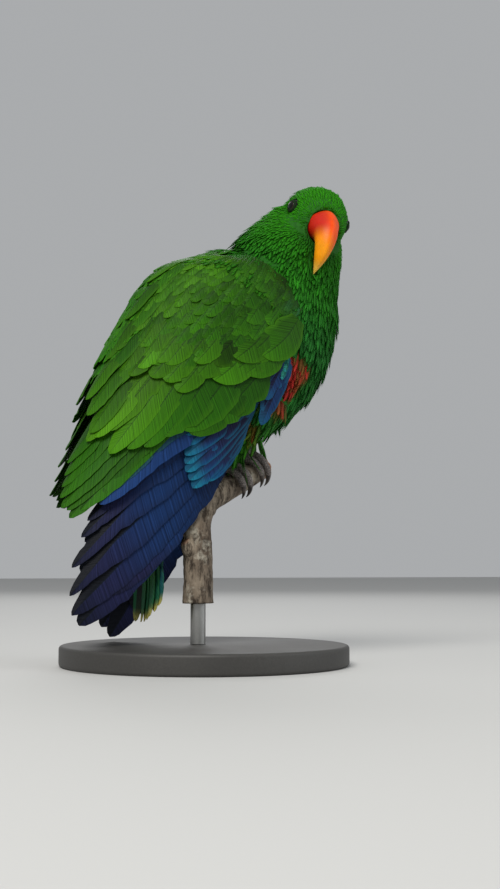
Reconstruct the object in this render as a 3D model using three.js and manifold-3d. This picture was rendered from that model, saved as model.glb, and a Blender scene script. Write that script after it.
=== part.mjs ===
// Male eclectus parrot, life size: a still model that grips a short cut branch on a plain stand.
// Millimetres, +Z up. The bird heads towards +X with its left side towards +Y, its head turned to
// its right. The origin is the middle of the stand base's underside.
import * as THREE from 'three';
import { mergeVertices } from 'three/addons/utils/BufferGeometryUtils.js';
import Module from 'manifold-3d';

const wasm = await Module();
wasm.setup();

const { degToRad, lerp, smoothstep } = THREE.MathUtils;

// Driving dimensions
const meshGap = 0.35;
const mergeDistance = 1e-3;
const vaneThickness = 0.6;
const vaneAirGap = 0.35;

const baseRadius = 85;
const baseHeight = 12;
const rodRadius = 4.5;
const perchFoot = 36;
const stubRadius = 8.6;

const bodyPlaneY = 18;
const bodySlope = degToRad(62);
const shoulder = { x: 30, z: 238 };
const wingRadiusTop = 43;
const wingRadiusBack = 52;
const wingRadiusTips = 46;
const wingRadiusBelly = 84;
const wingHalfWidth = 46;
const wingTaper = 0.062;
const wingTaperStart = 20;
const chartArc = 48;
const shoulderSink = 9;
const shoulderFrom = -8;
const shoulderTo = 30;
const sinkFrom = 50;
const sinkTo = 92;
const leftDroop = 20;

const headCentre = new THREE.Vector3(76.2, 4, 276.2);
const headYaw = degToRad(-5.5);
const headPitch = degToRad(-17);
const headRoll = degToRad(15);

const tailRootZ = 134;
const tailTipZ = 25;
const tailRootX = -30;
const tailTipX = -37;
const tailArch = 45;

// Materials, one for each kind of surface
function finish(color, roughness, metalness = 0) {
  return new THREE.MeshStandardMaterial({ color, roughness, metalness });
}

const materials = {
  plumage: finish(0x1f8a24, 0.75),
  wing: finish(0x2b7a22, 0.7),
  tail: finish(0x236b3a, 0.7),
  beakOrange: finish(0xe8601c, 0.35),
  beakBlack: finish(0x1b1a1c, 0.45),
  eye: finish(0x120d0a, 0.1),
  foot: finish(0x4a4a4c, 0.8),
  claw: finish(0x19181a, 0.4),
  bark: finish(0x6d5c4b, 0.95),
  steel: finish(0x8a8a86, 0.4, 0.8),
  base: finish(0x33312e, 0.6),
};

// Solids and meshes
function middle(ring) {
  return ring.reduce((sum, point) => sum.add(point), new THREE.Vector3()).divideScalar(ring.length);
}

function pushEnd(end, next, distance) {
  const outward = middle(end).sub(middle(next)).setLength(distance);
  end.forEach(point => point.add(outward));
}

function solid(rings, extra = 0) {
  // A closed skin through rings of equal point count, with a flat fan over each end ring. The two
  // halves of a ring split their faces alike, so that a thin bent vane's skins never cross. A loft
  // made fatter by extra is made longer by it too.
  const count = rings[0].length;
  if (extra > 0) {
    pushEnd(rings[0], rings[1], extra);
    pushEnd(rings[rings.length - 1], rings[rings.length - 2], extra);
  }
  const positions = rings.flat().flatMap(p => [p.x, p.y, p.z]);
  const faces = [];
  for (let k = 0; k + 1 < rings.length; k += 1) {
    for (let i = 0; i < count; i += 1) {
      const a = k * count + i;
      const b = k * count + (i + 1) % count;
      if (2 * i < count) {
        faces.push(a, b, b + count, a, b + count, a + count);
      } else {
        faces.push(a, b, a + count, b, b + count, a + count);
      }
    }
  }
  const last = (rings.length - 1) * count;
  for (let i = 1; i + 1 < count; i += 1) {
    faces.push(0, i + 1, i);
    faces.push(last, last + i, last + i + 1);
  }
  return closedSolid(positions, faces);
}

function closedSolid(positions, faces) {
  if (signedVolume(positions, faces) < 0) faces.reverse();
  return new wasm.Manifold(new wasm.Mesh({
    numProp: 3,
    vertProperties: new Float32Array(positions),
    triVerts: new Uint32Array(faces),
  }));
}

function signedVolume(positions, faces) {
  const corner = i => new THREE.Vector3().fromArray(positions, 3 * i);
  let sum = 0;
  for (let i = 0; i < faces.length; i += 3) {
    sum += corner(faces[i]).dot(corner(faces[i + 1]).cross(corner(faces[i + 2])));
  }
  return sum;
}

function fromGeometry(geometry) {
  const bare = geometry.clone();
  bare.deleteAttribute('normal');
  bare.deleteAttribute('uv');
  const merged = mergeVertices(bare, 1e-4);
  return closedSolid([...merged.attributes.position.array], [...merged.index.array]);
}

function join(pieces) {
  return pieces.reduce((sum, piece) => sum.add(piece));
}

function largestSurface(shape) {
  const surfaces = shape.decompose();
  return surfaces.reduce((best, next) => (next.volume() > best.volume() ? next : best));
}

function drawApart(mesh) {
  // Where two folds of a surface touch, each fold's points are drawn a hair into its own material.
  const hair = 0.012;
  const positions = Array.from(mesh.vertProperties);
  const corner = i => new THREE.Vector3().fromArray(positions, 3 * i);
  const normals = Array.from({ length: positions.length / 3 }, () => new THREE.Vector3());
  for (let i = 0; i < mesh.triVerts.length; i += 3) {
    const [a, b, c] = mesh.triVerts.slice(i, i + 3);
    const square = corner(b).sub(corner(a)).cross(corner(c).sub(corner(a)));
    [a, b, c].forEach(k => normals[k].add(square));
  }
  const places = new Map();
  normals.forEach((_, i) => {
    const key = corner(i).toArray().map(value => Math.round(value / mergeDistance)).join(' ');
    places.set(key, [...(places.get(key) ?? []), i]);
  });
  for (const shared of places.values()) {
    if (shared.length === 1) continue;
    shared.forEach(i => corner(i).addScaledVector(normals[i].normalize(), -hair).toArray(positions, 3 * i));
  }
  return positions;
}

function settledGeometry(shape, roundsLeft = 8) {
  // Merging close points can part a hair-thin neck or bring two folds together, so the largest
  // surface is chosen and drawn apart again until nothing changes.
  const mesh = largestSurface(shape).getMesh();
  const geometry = new THREE.BufferGeometry();
  geometry.setAttribute('position', new THREE.BufferAttribute(new Float32Array(drawApart(mesh)), 3));
  geometry.setIndex([...mesh.triVerts]);
  const merged = mergeVertices(geometry.toNonIndexed(), mergeDistance);
  if (roundsLeft === 0 || isSingleSurface(merged)) return merged;
  const again = closedSolid([...merged.attributes.position.array], [...merged.index.array]);
  return settledGeometry(again, roundsLeft - 1);
}

function isSingleSurface(geometry) {
  const index = geometry.index.array;
  const uses = new Map();
  for (let i = 0; i < index.length; i += 3) {
    for (let k = 0; k < 3; k += 1) {
      const ends = [index[i + k], index[i + (k + 1) % 3]].sort((p, q) => p - q).join(' ');
      uses.set(ends, (uses.get(ends) ?? 0) + 1);
    }
  }
  if ([...uses.values()].some(count => count > 2)) return false;
  return closedSolid([...geometry.attributes.position.array], [...index]).decompose().length === 1;
}

function toMesh(name, shape, material) {
  const geometry = settledGeometry(shape);
  geometry.computeVertexNormals();
  const result = new THREE.Mesh(geometry, material);
  result.name = name;
  return result;
}

function ellipseRing(centre, sideways, upward, halfWidth, halfHeight, sides) {
  return Array.from({ length: sides }, (_, i) => {
    const angle = 2 * Math.PI * i / sides;
    return centre.clone()
      .addScaledVector(sideways, halfWidth * Math.cos(angle))
      .addScaledVector(upward, halfHeight * Math.sin(angle));
  });
}

function tube(points, radii, sides, extra = 0) {
  // A tapering tube through a few points; each ring is square to the path.
  const start = points[1].clone().sub(points[0]).normalize();
  let across = new THREE.Vector3(0.31, -0.87, 0.39).cross(start).normalize();
  const rings = points.map((point, k) => {
    const before = points[Math.max(k - 1, 0)];
    const after = points[Math.min(k + 1, points.length - 1)];
    const along = after.clone().sub(before).normalize();
    across = across.clone().addScaledVector(along, -across.dot(along)).normalize();
    const other = along.clone().cross(across);
    return ellipseRing(point, across, other, radii[k] + extra, radii[k] + extra, sides);
  });
  return solid(rings, extra);
}

function halfSpace(point, normal) {
  // A block far larger than the bird, with one face through the point and its body along the normal.
  const size = 600;
  const block = new THREE.BoxGeometry(size, size, size);
  block.translate(0, 0, size / 2);
  block.applyQuaternion(new THREE.Quaternion().setFromUnitVectors(new THREE.Vector3(0, 0, 1), normal));
  block.translate(point.x, point.y, point.z);
  return fromGeometry(block);
}

// Flesh: torso, neck and head are lofted, joined, and parted again by thin cuts
const slopeDown = new THREE.Vector3(-Math.cos(bodySlope), 0, -Math.sin(bodySlope));
const slopeBack = new THREE.Vector3(-Math.sin(bodySlope), 0, Math.cos(bodySlope));
const towardsLeft = new THREE.Vector3(0, 1, 0);
const bodySides = 18;

function torsoLoft(extra) {
  // Down the slope from the shoulder: distance, reach to the back, reach to the belly, half width.
  const stations = [
    [-26, -9, -52, 16], [-18, 5, -64, 28], [-6, 22.5, -70, 34.5], [8, 34.5, -74, 38],
    [24, 39, -77, 39.5], [42, 38.5, -76, 39], [60, 35.5, -71, 36.5], [78, 29, -62, 31],
    [94, 20, -48, 24.5], [108, 12, -34, 18], [120, 6, -22, 13], [127, 1, -14, 8],
  ];
  const rings = stations.map(([along, back, belly, halfWidth]) => {
    const centre = new THREE.Vector3(shoulder.x, bodyPlaneY, shoulder.z)
      .addScaledVector(slopeDown, along)
      .addScaledVector(slopeBack, (back + belly) / 2);
    const depth = (back - belly) / 2;
    return ellipseRing(centre, towardsLeft, slopeBack, halfWidth + extra, depth + extra, bodySides);
  });
  return solid(rings, extra);
}

function neckLoft(extra) {
  // Level rings from inside the shoulders up into the head: height, centre, half sizes.
  const stations = [
    [212, 53, 18, 35, 33], [226, 55.5, 18, 38.5, 34], [240, 58, 17, 37.5, 33], [252, 60, 15, 36.5, 30.5],
    [262, 62.5, 15, 35, 27], [271, 66, 15, 30, 21.5], [280, 69, 15, 22.5, 14], [287, 71, 13, 15, 9.5],
  ];
  const ahead = new THREE.Vector3(1, 0, 0);
  const rings = stations.map(([z, x, y, halfLength, halfWidth]) => {
    const centre = new THREE.Vector3(x, y, z);
    return ellipseRing(centre, ahead, towardsLeft, halfLength + extra, halfWidth + extra, bodySides);
  });
  return solid(rings, extra);
}

// Head frame: forward along the gaze, right towards the bird's right, up through the crown
const gaze = new THREE.Vector3(
  Math.sin(headYaw) * Math.cos(headPitch), -Math.cos(headYaw) * Math.cos(headPitch), Math.sin(headPitch));
const levelRight = new THREE.Vector3(-Math.cos(headYaw), -Math.sin(headYaw), 0);
const levelUp = levelRight.clone().cross(gaze);
const headRight = levelRight.clone().multiplyScalar(Math.cos(headRoll))
  .addScaledVector(levelUp, Math.sin(headRoll));
const headUp = levelUp.clone().multiplyScalar(Math.cos(headRoll))
  .addScaledVector(levelRight, -Math.sin(headRoll));

function headPoint(forward, right, up) {
  return headCentre.clone()
    .addScaledVector(gaze, forward)
    .addScaledVector(headRight, right)
    .addScaledVector(headUp, up);
}

function headLoft(extra) {
  // Along the gaze: distance, height of the middle, half width, half height.
  const stations = [
    [-24, 1, 8, 9], [-20, 1, 14, 15.5], [-12, 0.8, 19, 20.5], [-3, 0.4, 20.3, 21.6],
    [6, -0.4, 19, 20.6], [12, -2, 16.2, 17.6], [17, -4.5, 12.5, 13], [20, -6.5, 8, 8.5],
  ];
  const rings = stations.map(([forward, rise, halfWidth, halfHeight]) => ellipseRing(
    headPoint(forward, 0, rise), headRight, headUp, halfWidth + extra, halfHeight + extra, bodySides));
  return solid(rings, extra);
}

// Beak, in the head frame measured from the culmen's base
const culmenBase = { forward: 18, up: 6 };
const beakSides = 14;

function beakLoft(stations, extra) {
  // Each station holds the ridge, the cutting edge and the half width.
  const rings = stations.map(([ridgeForward, ridgeUp, edgeForward, edgeUp, halfWidth]) => {
    const ridge = headPoint(culmenBase.forward + ridgeForward, 0, culmenBase.up + ridgeUp);
    const edge = headPoint(culmenBase.forward + edgeForward, 0, culmenBase.up + edgeUp);
    const centre = ridge.clone().lerp(edge, 0.5);
    const rise = ridge.clone().sub(edge);
    const halfRise = rise.length() / 2;
    rise.normalize();
    return ellipseRing(centre, headRight, rise, halfWidth + extra, halfRise + extra, beakSides);
  });
  return solid(rings, extra);
}

const upperBeakStations = [
  [-8, -1, -13, -18, 8.2], [0, 0.5, -9, -19, 9.2], [8.5, -2.5, -3, -20, 9], [15.5, -9.5, 2, -20.5, 8],
  [19, -19, 4.5, -23, 6.6], [18.5, -28, 6, -28.5, 4.8], [14.5, -35, 7.5, -34, 2.8],
  [9.6, -40.6, 8.6, -39.8, 0.7],
];
const lowerBeakStations = [
  [-15, -21, -17, -30, 6.5], [-10, -21, -12, -34, 7.4], [-4, -21.5, -5, -35.5, 7], [1, -22, 1.5, -33, 5.6],
  [4.5, -24, 5, -29, 3.4],
];

// Eyes
const eyeRadius = 5;
const eyePlace = { forward: 1, right: 16.4, up: 3 };

function eyeCentre(side) {
  return headPoint(eyePlace.forward, side * eyePlace.right, eyePlace.up);
}

function ball(centre, radius) {
  const rows = 7;
  const geometry = new THREE.SphereGeometry(radius, 2 * rows, rows);
  geometry.translate(centre.x, centre.y, centre.z);
  return fromGeometry(geometry);
}

function eyelids(side) {
  // A low ring of bare skin round the opening.
  const ring = new THREE.TorusGeometry(4.4, 1.1, 5, 14);
  const outward = headRight.clone().multiplyScalar(side).addScaledVector(gaze, 0.28).normalize();
  ring.applyQuaternion(new THREE.Quaternion().setFromUnitVectors(new THREE.Vector3(0, 0, 1), outward));
  const place = eyeCentre(side).addScaledVector(outward, 2.6);
  ring.translate(place.x, place.y, place.z);
  return fromGeometry(ring);
}

// Wing chart: along runs down the slope from the shoulder, around runs from the spine over the
// side to the belly in millimetres of arc, lift stands off the folded wing's outer surface
function wingPoint(side, along, around, lift) {
  const sink = (1 - smoothstep(along, shoulderFrom, shoulderTo)) * (1 - smoothstep(around, sinkFrom, sinkTo));
  const sunk = lift - shoulderSink * sink;
  const angle = around / chartArc;
  const backRadius = lerp(wingRadiusTop, wingRadiusBack, smoothstep(along, 0, 50))
    + (wingRadiusTips - wingRadiusBack) * smoothstep(along, 100, 180);
  const radius = Math.cos(angle) > 0 ? backRadius : wingRadiusBelly;
  const width = wingHalfWidth - wingTaper * Math.max(0, along - wingTaperStart);
  const normalBack = Math.cos(angle) / radius;
  const normalOut = Math.sin(angle) / width;
  const normalLength = Math.hypot(normalBack, normalOut);
  const back = radius * Math.cos(angle) + sunk * normalBack / normalLength;
  const out = width * Math.sin(angle) + sunk * normalOut / normalLength;
  return new THREE.Vector3(shoulder.x, bodyPlaneY, shoulder.z)
    .addScaledVector(slopeDown, along)
    .addScaledVector(slopeBack, back)
    .addScaledVector(towardsLeft, side * out);
}

// Tail chart: along runs down from the rump, around runs sideways, lift stands off the back
function tailPoint(side, along, around, lift) {
  const z = tailRootZ - along;
  const down = along / (tailRootZ - tailTipZ);
  const arch = around * around / (2 * tailArch);
  const lean = around / tailArch;
  const level = Math.hypot(1, lean);
  return new THREE.Vector3(
    lerp(tailRootX, tailTipX, down) + arch - lift / level,
    bodyPlaneY + side * (around + lift * lean / level),
    z);
}

// A vane: a thin closed strip along a chart, its outer edge raised over the next feather
const vaneSteps = [[0, 0.5], [0.3, 0.95], [0.7, 1], [0.92, 0.75], [1, 0.26]];

function vane(chart, side, root, tip, { halfWidth, pitch, bow = 0 }) {
  // Root and tip are [along, around, lift]; pitch is the distance to the next feather.
  const raise = (vaneThickness + vaneAirGap) / pitch;
  const run = tip[0] - root[0];
  const drift = tip[1] - root[1];
  const length = Math.hypot(run, drift);
  const rings = vaneSteps.map(([t, widthShare]) => {
    const curve = 4 * bow * t * (1 - t);
    const along = root[0] + run * t - curve * drift / length;
    const around = root[1] + drift * t + curve * run / length;
    const lift = lerp(root[2], tip[2], smoothstep(t, 0, 0.6));
    const reach = halfWidth * widthShare;
    const half = vaneThickness / 2;
    const corner = (edge, skin) => chart(
      side,
      along - edge * reach * drift / length,
      around + edge * reach * run / length,
      lift + edge * reach * raise + skin * half);
    return [corner(-1, -1), corner(1, -1), corner(1, 1), corner(-1, 1)];
  });
  return solid(rings);
}

function row(chart, side, count, place) {
  return Array.from({ length: count }, (_, i) => {
    const { root, tip, ...shape } = place(i, count > 1 ? i / (count - 1) : 0);
    return vane(chart, side, root, tip, shape);
  });
}

function along(points, t) {
  // A point on a polyline of [along, around] pairs, t from 0 to 1.
  const scaled = t * (points.length - 1);
  const k = Math.min(Math.floor(scaled), points.length - 2);
  return [lerp(points[k][0], points[k + 1][0], scaled - k), lerp(points[k][1], points[k + 1][1], scaled - k)];
}

// Wing bones' lines on the chart, and the lines on which each tier's tips lie
const elbow = [78, 48];
const wrist = [26, 98];
const handTip = [88, 95.5];
const secondaryTips = [[156, 14], [176, 22], [187, 34], [186, 44], [174, 55]];
const greaterTips = [[140, 28], [142, 40], [137, 60], [120, 75.5], [104, 83.5]];
const medianTips = [[100, 30], [99, 46], [94, 62], [76, 78], [62, 88]];
const lesserTips = [[78, 24], [76, 44], [60, 66], [42, 86]];
const primaryTips = [
  [158, 50], [177, 51], [195, 54], [212.5, 58.5],
  [227, 66.5], [236, 74], [239, 78.5], [217, 81.5],
];
const primaryCovertTips = [[116, 78.5], [126, 82], [134, 85], [140, 90], [132, 93.5]];

function wingCore(side) {
  // The bones and flesh of the folded wing: a plate that thins towards its rim.
  const start = 6;
  const end = 100;
  const rings = [];
  const rows = 7;
  const columns = 7;
  for (let k = 0; k <= rows; k += 1) {
    const t = k / rows;
    const down = lerp(start, end, t);
    const from = lerp(16, 30, t);
    const to = lerp(96, 101, smoothstep(t, 0, 0.4));
    const fade = Math.sin(Math.PI * lerp(0.06, 0.94, t));
    const upper = [];
    const lower = [];
    for (let i = 0; i <= columns; i += 1) {
      const u = i / columns;
      const round = lerp(from, to, u);
      const plump = Math.pow(fade * Math.sin(Math.PI * lerp(0.05, 0.95, u)), 0.5);
      upper.push(wingPoint(side, down, round, -3.4 + 2 * plump));
      lower.push(wingPoint(side, down, round, -4.6 - 4.5 * plump));
    }
    rings.push([...upper, ...lower.reverse()]);
  }
  return solid(rings);
}

function wing(side, droop) {
  // Droop swings the hand and its feathers towards the belly, in millimetres of arc at the tips, and
  // draws the inner feathers' tips in by a share of it.
  const drawnIn = droop * 0.4;
  const core = wingCore(side);
  const primaries = row(wingPoint, side, 8, (i, t) => {
    const root = along([wrist, handTip], 0.1 + 0.9 * t);
    return {
      root: [root[0], root[1] - 3 + droop * 0.2, -5],
      tip: [primaryTips[i][0] - droop * 0.35, primaryTips[i][1] + droop, -7 + droop * 0.35],
      halfWidth: 7.8, pitch: 3.8, bow: 3,
    };
  });
  const secondaries = row(wingPoint, side, 7, (i, t) => {
    const root = along([elbow, wrist], 0.96 * t);
    const tip = along(secondaryTips, t);
    return {
      root: [root[0], root[1], -4.6], tip: [tip[0] - drawnIn, tip[1], -2.8],
      halfWidth: 8.8, pitch: 6.2, bow: 2,
    };
  });
  const greater = row(wingPoint, side, 6, (i, t) => {
    const root = along([[82, 40], [34, 93]], t);
    const tip = along(greaterTips, t);
    return { root: [root[0], root[1], -2.6], tip: [tip[0], tip[1], 0.3], halfWidth: 8.4, pitch: 9, bow: 2 };
  });
  const median = row(wingPoint, side, 5, (i, t) => {
    const tip = along(medianTips, t);
    return {
      root: [tip[0] - 40, tip[1] + lerp(2, 7, t), -2.4], tip: [tip[0], tip[1], 1.8],
      halfWidth: 9.2, pitch: 13,
    };
  });
  const lesser = row(wingPoint, side, 4, (i, t) => {
    const tip = along(lesserTips, t);
    return {
      root: [tip[0] - 34, tip[1] + lerp(4, 8, t), -2.2], tip: [tip[0], tip[1], 3.2],
      halfWidth: 9.6, pitch: 15,
    };
  });
  const primaryCoverts = row(wingPoint, side, 4, (i, t) => {
    const root = along([[46, 96], [90, 96.5]], t);
    const tip = along(primaryCovertTips, t);
    return {
      root: [root[0], root[1] + droop * 0.1, -3.6], tip: [tip[0], tip[1] + droop * 0.5, -2.6 + droop * 0.1],
      halfWidth: 6.6, pitch: 7,
    };
  });
  const alula = row(wingPoint, side, 2, (i, t) => ({
    root: [22 + 6 * t, 97 + 3 * t, -3.4], tip: [lerp(66, 82, t), lerp(98, 104, t), 0.3],
    halfWidth: 5.2, pitch: 8,
  }));
  const scapulars = row(wingPoint, side, 4, (i, t) => ({
    root: [lerp(8, 62, t), lerp(30, 42, t), -2.6], tip: [lerp(54, 132, t), lerp(12, 20, t), 2.4],
    halfWidth: 9, pitch: 12,
  }));
  return join([
    core, ...primaries, ...secondaries, ...greater, ...median, ...lesser,
    ...primaryCoverts, ...alula, ...scapulars,
  ]);
}

// Tail: twelve feathers in a shallow arch, under and over coverts at their root
const tailPairs = 6;

function tailCore() {
  const stations = [[-2, 9, 7], [8, 11.5, 7.5], [22, 12.5, 5.5], [38, 11, 2.4]];
  const rings = stations.map(([down, halfWidth, depth]) => {
    const centre = tailPoint(1, down, 0, -2.4 - depth);
    return ellipseRing(centre, towardsLeft, new THREE.Vector3(1, 0, 0), halfWidth, depth, 12);
  });
  return solid(rings);
}

function tail() {
  const feathers = [1, -1].flatMap(side => row(tailPoint, side, tailPairs, (i, t) => ({
    root: [10, 2 + 1.2 * i, -4], tip: [lerp(109, 99, t * t), 6.4 + 3.1 * i, -1 - 0.1 * i],
    halfWidth: 6, pitch: 3.1,
  })));
  const overCoverts = [1, -1].flatMap(side => row(tailPoint, side, 2, (i, t) => ({
    root: [2, 1.5 + 3 * i, -4], tip: [lerp(52, 42, t), 7 + 9 * i, 1], halfWidth: 6.6, pitch: 9,
  })));
  const underCoverts = [1, -1].flatMap(side => row(tailPoint, side, 2, (i, t) => ({
    root: [6, 2 + 4 * i, -12], tip: [lerp(50, 42, t), 6.4 + 7 * i, -8], halfWidth: 5.6, pitch: 8,
  })));
  return join([tailCore(), ...feathers, ...overCoverts, ...underCoverts]);
}

// Perch: a cut length of upright trunk that bends at a knee into a broken side branch
const perchPath = [
  new THREE.Vector3(-4.2, 0, perchFoot), new THREE.Vector3(-4.4, 0, 61), new THREE.Vector3(-5.5, 0, 83),
  new THREE.Vector3(0, 1.5, 96), new THREE.Vector3(13, 9, 103), new THREE.Vector3(31, 19.5, 112),
  new THREE.Vector3(49, 30, 121),
];
const perchRadii = [9.4, 9, 9.2, 9.3, stubRadius, stubRadius, 8.2];
const stubStart = perchPath[4];
const stubEnd = perchPath[6];
const stubAxis = stubEnd.clone().sub(stubStart).normalize();
const stubFar = new THREE.Vector3(0, 0, 1).cross(stubAxis).normalize();
const stubUp = stubAxis.clone().cross(stubFar);

function perch() {
  const trunk = tube(perchPath, perchRadii, 14);
  const knot = tube(
    [new THREE.Vector3(-4, 0, 66), new THREE.Vector3(-11, -3, 70), new THREE.Vector3(-14.5, -4, 73)],
    [7, 5, 3.4], 8);
  return join([trunk, knot]);
}

function stubPoint(along, angle, radius) {
  // A point off the side branch: distance along it, angle from its top towards the near side.
  return stubStart.clone()
    .addScaledVector(stubAxis, along)
    .addScaledVector(stubUp, radius * Math.cos(angle))
    .addScaledVector(stubFar, -radius * Math.sin(angle));
}

// Legs: feathered thighs, scaly feet with two toes each way, and a claw on every toe
const feet = [
  { name: 'right', seat: 12, hip: new THREE.Vector3(40, 2, 160), ankle: new THREE.Vector3(23, 11, 131) },
  { name: 'left', seat: 32, hip: new THREE.Vector3(50, 33, 160), ankle: new THREE.Vector3(41, 25, 139) },
];
const toeRadius = 2.3;
const toeReach = stubRadius + toeRadius + meshGap + 0.1;
const toes = [
  { offset: 3.6, way: 1, end: 104 }, { offset: -3.2, way: 1, end: 92 },
  { offset: 3.4, way: -1, end: 96 }, { offset: -3.6, way: -1, end: 84 },
];
const clawLength = 42;

function toePath(foot, toe, fromDegrees, toDegrees, steps) {
  return Array.from({ length: steps + 1 }, (_, i) => {
    const angle = degToRad(lerp(fromDegrees, toDegrees, i / steps)) * toe.way;
    return stubPoint(foot.seat + toe.offset, angle, toeReach);
  });
}

function tarsus(foot, extra) {
  const pad = stubPoint(foot.seat, 0, toeReach + 0.9);
  const top = foot.ankle.clone().lerp(foot.hip, 0.12);
  return tube([pad, foot.ankle, top], [3.1, 3.3, 3.4], 8, extra);
}

function footSolid(foot) {
  const toeTubes = toes.map(toe => tube(
    toePath(foot, toe, 0, toe.end, 4), [2.5, 2.4, toeRadius, 2.2, 1.9], 6));
  const halfPad = 6;
  const padPath = [[-halfPad, 0], [0, 0.6], [halfPad, 0]].map(
    ([offset, rise]) => stubPoint(foot.seat + offset, 0, toeReach + rise));
  const pad = tube(padPath, [2, 3, 2], 8);
  return join([tarsus(foot, 0), pad, ...toeTubes]);
}

function clawSolid(foot, toe) {
  const gapDegrees = 4.5;
  const start = toe.end + gapDegrees;
  return tube(toePath(foot, toe, start, start + clawLength, 4), [1.7, 1.5, 1.2, 0.8, 0.3], 7);
}

function thighLoft(foot, extra) {
  const direction = foot.ankle.clone().sub(foot.hip);
  const points = [-0.15, 0.25, 0.6, 0.9, 1.02].map(t => foot.hip.clone().addScaledVector(direction, t));
  return tube(points, [15, 14, 11, 7.4, 5], 14, extra);
}

// Stand
function standBase() {
  const bevel = 2;
  const profile = [
    [0, 0], [baseRadius - bevel, 0], [baseRadius, bevel], [baseRadius, baseHeight - bevel],
    [baseRadius - bevel, baseHeight], [0, baseHeight],
  ].map(([r, z]) => new THREE.Vector2(r, z));
  const geometry = new THREE.LatheGeometry(profile, 40);
  geometry.rotateX(Math.PI / 2);
  return fromGeometry(geometry);
}

function standRod() {
  const from = baseHeight + meshGap;
  const to = perchFoot - meshGap;
  const geometry = new THREE.CylinderGeometry(rodRadius, rodRadius, to - from, 24);
  geometry.rotateX(Math.PI / 2);
  geometry.translate(perchPath[0].x, perchPath[0].y, (from + to) / 2);
  return fromGeometry(geometry);
}

// Assembly
const parrot = new THREE.Group();
const body = join([torsoLoft(0), neckLoft(0), headLoft(0)]);
const bodySkin = join([torsoLoft(meshGap), neckLoft(meshGap), headLoft(meshGap)]);

const headCut = {
  point: new THREE.Vector3(69, 8, 262),
  normal: new THREE.Vector3(0.3, -0.34, 0.9).normalize(),
};
const neckCut = {
  point: new THREE.Vector3(60, 17, 237),
  normal: new THREE.Vector3(0.36, 0, 0.93).normalize(),
};

function beyond(cut, distance, way) {
  const point = cut.point.clone().addScaledVector(cut.normal, way * distance);
  return halfSpace(point, cut.normal.clone().multiplyScalar(way));
}

const upperBeak = beakLoft(upperBeakStations, 0);
const lowerBeak = beakLoft(lowerBeakStations, 0).subtract(beakLoft(upperBeakStations, meshGap));
const beakRoom = join([beakLoft(upperBeakStations, meshGap), beakLoft(lowerBeakStations, meshGap)]);
const eyeRoom = join([ball(eyeCentre(1), eyeRadius + meshGap), ball(eyeCentre(-1), eyeRadius + meshGap)]);

const head = join([body.intersect(beyond(headCut, meshGap / 2, 1)), eyelids(1), eyelids(-1)])
  .subtract(eyeRoom).subtract(beakRoom);
const neck = body.intersect(beyond(headCut, meshGap / 2, -1)).intersect(beyond(neckCut, meshGap / 2, 1))
  .subtract(beakRoom);
const torsoRoom = join(feet.flatMap(foot => [thighLoft(foot, meshGap), tarsus(foot, meshGap)]));
const torso = body.intersect(beyond(neckCut, meshGap / 2, -1)).subtract(torsoRoom);

parrot.add(toMesh('head', head, materials.plumage));
parrot.add(toMesh('neck', neck, materials.plumage));
parrot.add(toMesh('torso', torso, materials.plumage));
parrot.add(toMesh('beak_upper', upperBeak, materials.beakOrange));
parrot.add(toMesh('beak_lower', lowerBeak, materials.beakBlack));
parrot.add(toMesh('eye_right', ball(eyeCentre(1), eyeRadius), materials.eye));
parrot.add(toMesh('eye_left', ball(eyeCentre(-1), eyeRadius), materials.eye));

const midline = { point: new THREE.Vector3(0, bodyPlaneY, 0), normal: towardsLeft };
const thighRoom = join(feet.map(foot => thighLoft(foot, meshGap)));
for (const [name, side, droop] of [['right', -1, 0], ['left', 1, leftDroop]]) {
  const shape = wing(side, droop)
    .subtract(bodySkin)
    .subtract(thighRoom)
    .intersect(beyond(midline, meshGap / 2, side));
  parrot.add(toMesh(`wing_${name}`, shape, materials.wing));
}

parrot.add(toMesh('tail', tail().subtract(bodySkin), materials.tail));

for (const foot of feet) {
  const thigh = thighLoft(foot, 0).subtract(tarsus(foot, meshGap));
  parrot.add(toMesh(`thigh_${foot.name}`, thigh, materials.plumage));
  parrot.add(toMesh(`foot_${foot.name}`, footSolid(foot), materials.foot));
  toes.forEach((toe, i) => {
    parrot.add(toMesh(`claw_${foot.name}_${i + 1}`, clawSolid(foot, toe), materials.claw));
  });
}

parrot.add(toMesh('perch', perch(), materials.bark));
parrot.add(toMesh('stand_rod', standRod(), materials.steel));
parrot.add(toMesh('stand_base', standBase(), materials.base));

export default parrot;
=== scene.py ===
"""Looks of a male eclectus parrot that grips a short cut branch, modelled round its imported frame."""
import math

import bpy
import numpy as np
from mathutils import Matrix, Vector
from mathutils.kdtree import KDTree


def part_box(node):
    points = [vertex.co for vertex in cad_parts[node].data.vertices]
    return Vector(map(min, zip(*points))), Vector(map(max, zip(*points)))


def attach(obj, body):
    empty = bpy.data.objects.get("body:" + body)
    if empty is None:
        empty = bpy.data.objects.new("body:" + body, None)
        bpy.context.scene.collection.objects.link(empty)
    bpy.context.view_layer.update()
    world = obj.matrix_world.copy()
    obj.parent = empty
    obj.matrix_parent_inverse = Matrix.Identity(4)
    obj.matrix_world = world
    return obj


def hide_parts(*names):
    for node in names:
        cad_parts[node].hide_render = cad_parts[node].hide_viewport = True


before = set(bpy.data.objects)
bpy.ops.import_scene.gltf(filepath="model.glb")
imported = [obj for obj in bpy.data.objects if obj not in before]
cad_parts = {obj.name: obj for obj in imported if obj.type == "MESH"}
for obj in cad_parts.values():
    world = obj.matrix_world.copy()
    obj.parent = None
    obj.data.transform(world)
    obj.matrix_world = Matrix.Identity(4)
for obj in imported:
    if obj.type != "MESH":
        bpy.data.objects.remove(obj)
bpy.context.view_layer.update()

MM = 0.001

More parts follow.
